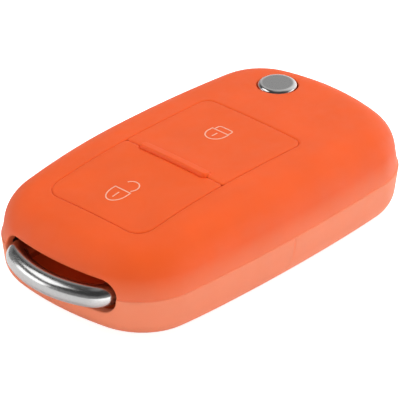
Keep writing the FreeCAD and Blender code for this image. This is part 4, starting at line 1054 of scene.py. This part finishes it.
def make_floor():
    mesh = bpy.data.meshes.new("floor")
    corners = ((-1, -1), (1, -1), (1, 1), (-1, 1))
    vertices = [(x * FLOOR_REACH, y * FLOOR_REACH, FLOOR_LEVEL) for x, y in corners]
    mesh.from_pydata(vertices, [], [(0, 1, 2, 3)])
    mesh.materials.append(paper_finish())
    thing = bpy.data.objects.new("floor", mesh)
    scene.collection.objects.link(thing)
    return thing


floor = make_floor()

# The sky
SKY_WAY = Vector((0.9, 0.05, 0.43)).normalized()  # the dome gets brighter this way
DOME_STOPS = ((0.2, 0.06), (0.5, 0.1), (1.0, 1.0))  # cosine of the angle to that way, and brightness
HORIZON_START, HORIZON_STOP, HORIZON_GLOW = 0.3, 0.52, 0.24
ZENITH_START, ZENITH_STOP, ZENITH_GLOW = 0.95, 0.995, 0.2


def make_sky():
    """A dim dome with a bright side, a paler strip near the floor and a soft patch straight above."""
    world = bpy.data.worlds.new("studio")
    scene.world = world
    world.use_nodes = True
    tree = world.node_tree
    heading = tree.nodes.new("ShaderNodeTexCoord").outputs["Generated"]
    dome = tree.nodes.new("ShaderNodeValToRGB")
    stops = dome.color_ramp.elements
    stops.remove(stops[1])
    for index, (place, level) in enumerate(DOME_STOPS):
        stop = stops[0] if index == 0 else stops.new(place)
        stop.position = place
        stop.color = (level, level, level, 1)
    along = maths(tree, VECTOR_MATHS, "DOT_PRODUCT", heading, SKY_WAY)
    tree.links.new(along.outputs["Value"], dome.inputs["Fac"])
    height = height_in(tree, heading)
    horizon = map_range(tree, height, HORIZON_GLOW, 0.0, HORIZON_START, HORIZON_STOP)
    zenith = map_range(tree, height, 0.0, ZENITH_GLOW, ZENITH_START, ZENITH_STOP)
    strips = maths(tree, PLAIN_MATHS, "ADD", horizon, zenith)
    total = maths(tree, VECTOR_MATHS, "ADD", dome.outputs["Color"], strips.outputs["Value"])
    tree.links.new(total.outputs["Vector"], tree.nodes["Background"].inputs["Color"])


make_sky()


# Lamps, in metres and watts
def softbox(name, place, wide, tall, watts, mirrored=True, aim=(0, 0, 0.01)):
    """A lit rectangle; one that isn't mirrored doesn't show in the chrome."""
    lamp = bpy.data.lights.new(name, "AREA")
    lamp.shape = "RECTANGLE"
    lamp.size, lamp.size_y = wide, tall
    lamp.energy = watts
    thing = bpy.data.objects.new(name, lamp)
    scene.collection.objects.link(thing)
    thing.visible_glossy = mirrored
    thing.location = Vector(place)
    thing.rotation_euler = (Vector(aim) - Vector(place)).to_track_quat("-Z", "Y").to_euler()


softbox("overhead_softbox", (0.22, -0.05, 0.71), wide=0.4, tall=0.4, watts=3.1, mirrored=False)
softbox("front_softbox", (-0.48, -0.43, 0.21), wide=0.4, tall=0.4, watts=1.7, mirrored=False)
softbox("back_softbox", (-0.36, 0.5, 0.66), wide=0.62, tall=0.34, watts=1.4)
softbox("right_softbox", (0.42, -0.56, 0.15), wide=0.6, tall=0.28, watts=0.6, aim=(0, -0.02, 0))
softbox("left_softbox", (-0.5, 0.53, 0.13), wide=0.5, tall=0.24, watts=0.8)

# The camera, in metres
AZIMUTH, ELEVATION, DISTANCE = math.radians(-46.622), math.radians(30.390), 0.7356
FOCUS = Vector((0, 0, 0.00778))  # the height that the view turns about
PICTURE, PIXEL = 400, 0.001 / 6.101  # pixels across, and the length one shows at the focus
SHIFT_RIGHT, SHIFT_UP = -2.579, -2.508  # pixels
SENSOR, CLIP_START = 36.0, 0.01  # the sensor in mm


def make_camera():
    """The view of the photo."""
    lens = bpy.data.cameras.new("photo_view")
    lens.sensor_width = SENSOR
    lens.lens = SENSOR * DISTANCE / (PICTURE * PIXEL)
    lens.clip_start = CLIP_START
    camera = bpy.data.objects.new("photo_view", lens)
    scene.collection.objects.link(camera)
    level = math.cos(ELEVATION)
    right = Vector((math.cos(AZIMUTH), math.sin(AZIMUTH), 0))
    away = Vector((math.sin(AZIMUTH) * level, -math.cos(AZIMUTH) * level, math.sin(ELEVATION)))
    up = away.cross(right)
    place = FOCUS + away * DISTANCE + (right * SHIFT_RIGHT + up * SHIFT_UP) * PIXEL
    camera.matrix_world = Matrix.Translation(place) @ Matrix((right, up, away)).transposed().to_4x4()
    scene.camera = camera


make_camera()
scene.view_settings.view_transform = "Standard"

bpy.context.view_layer.update()
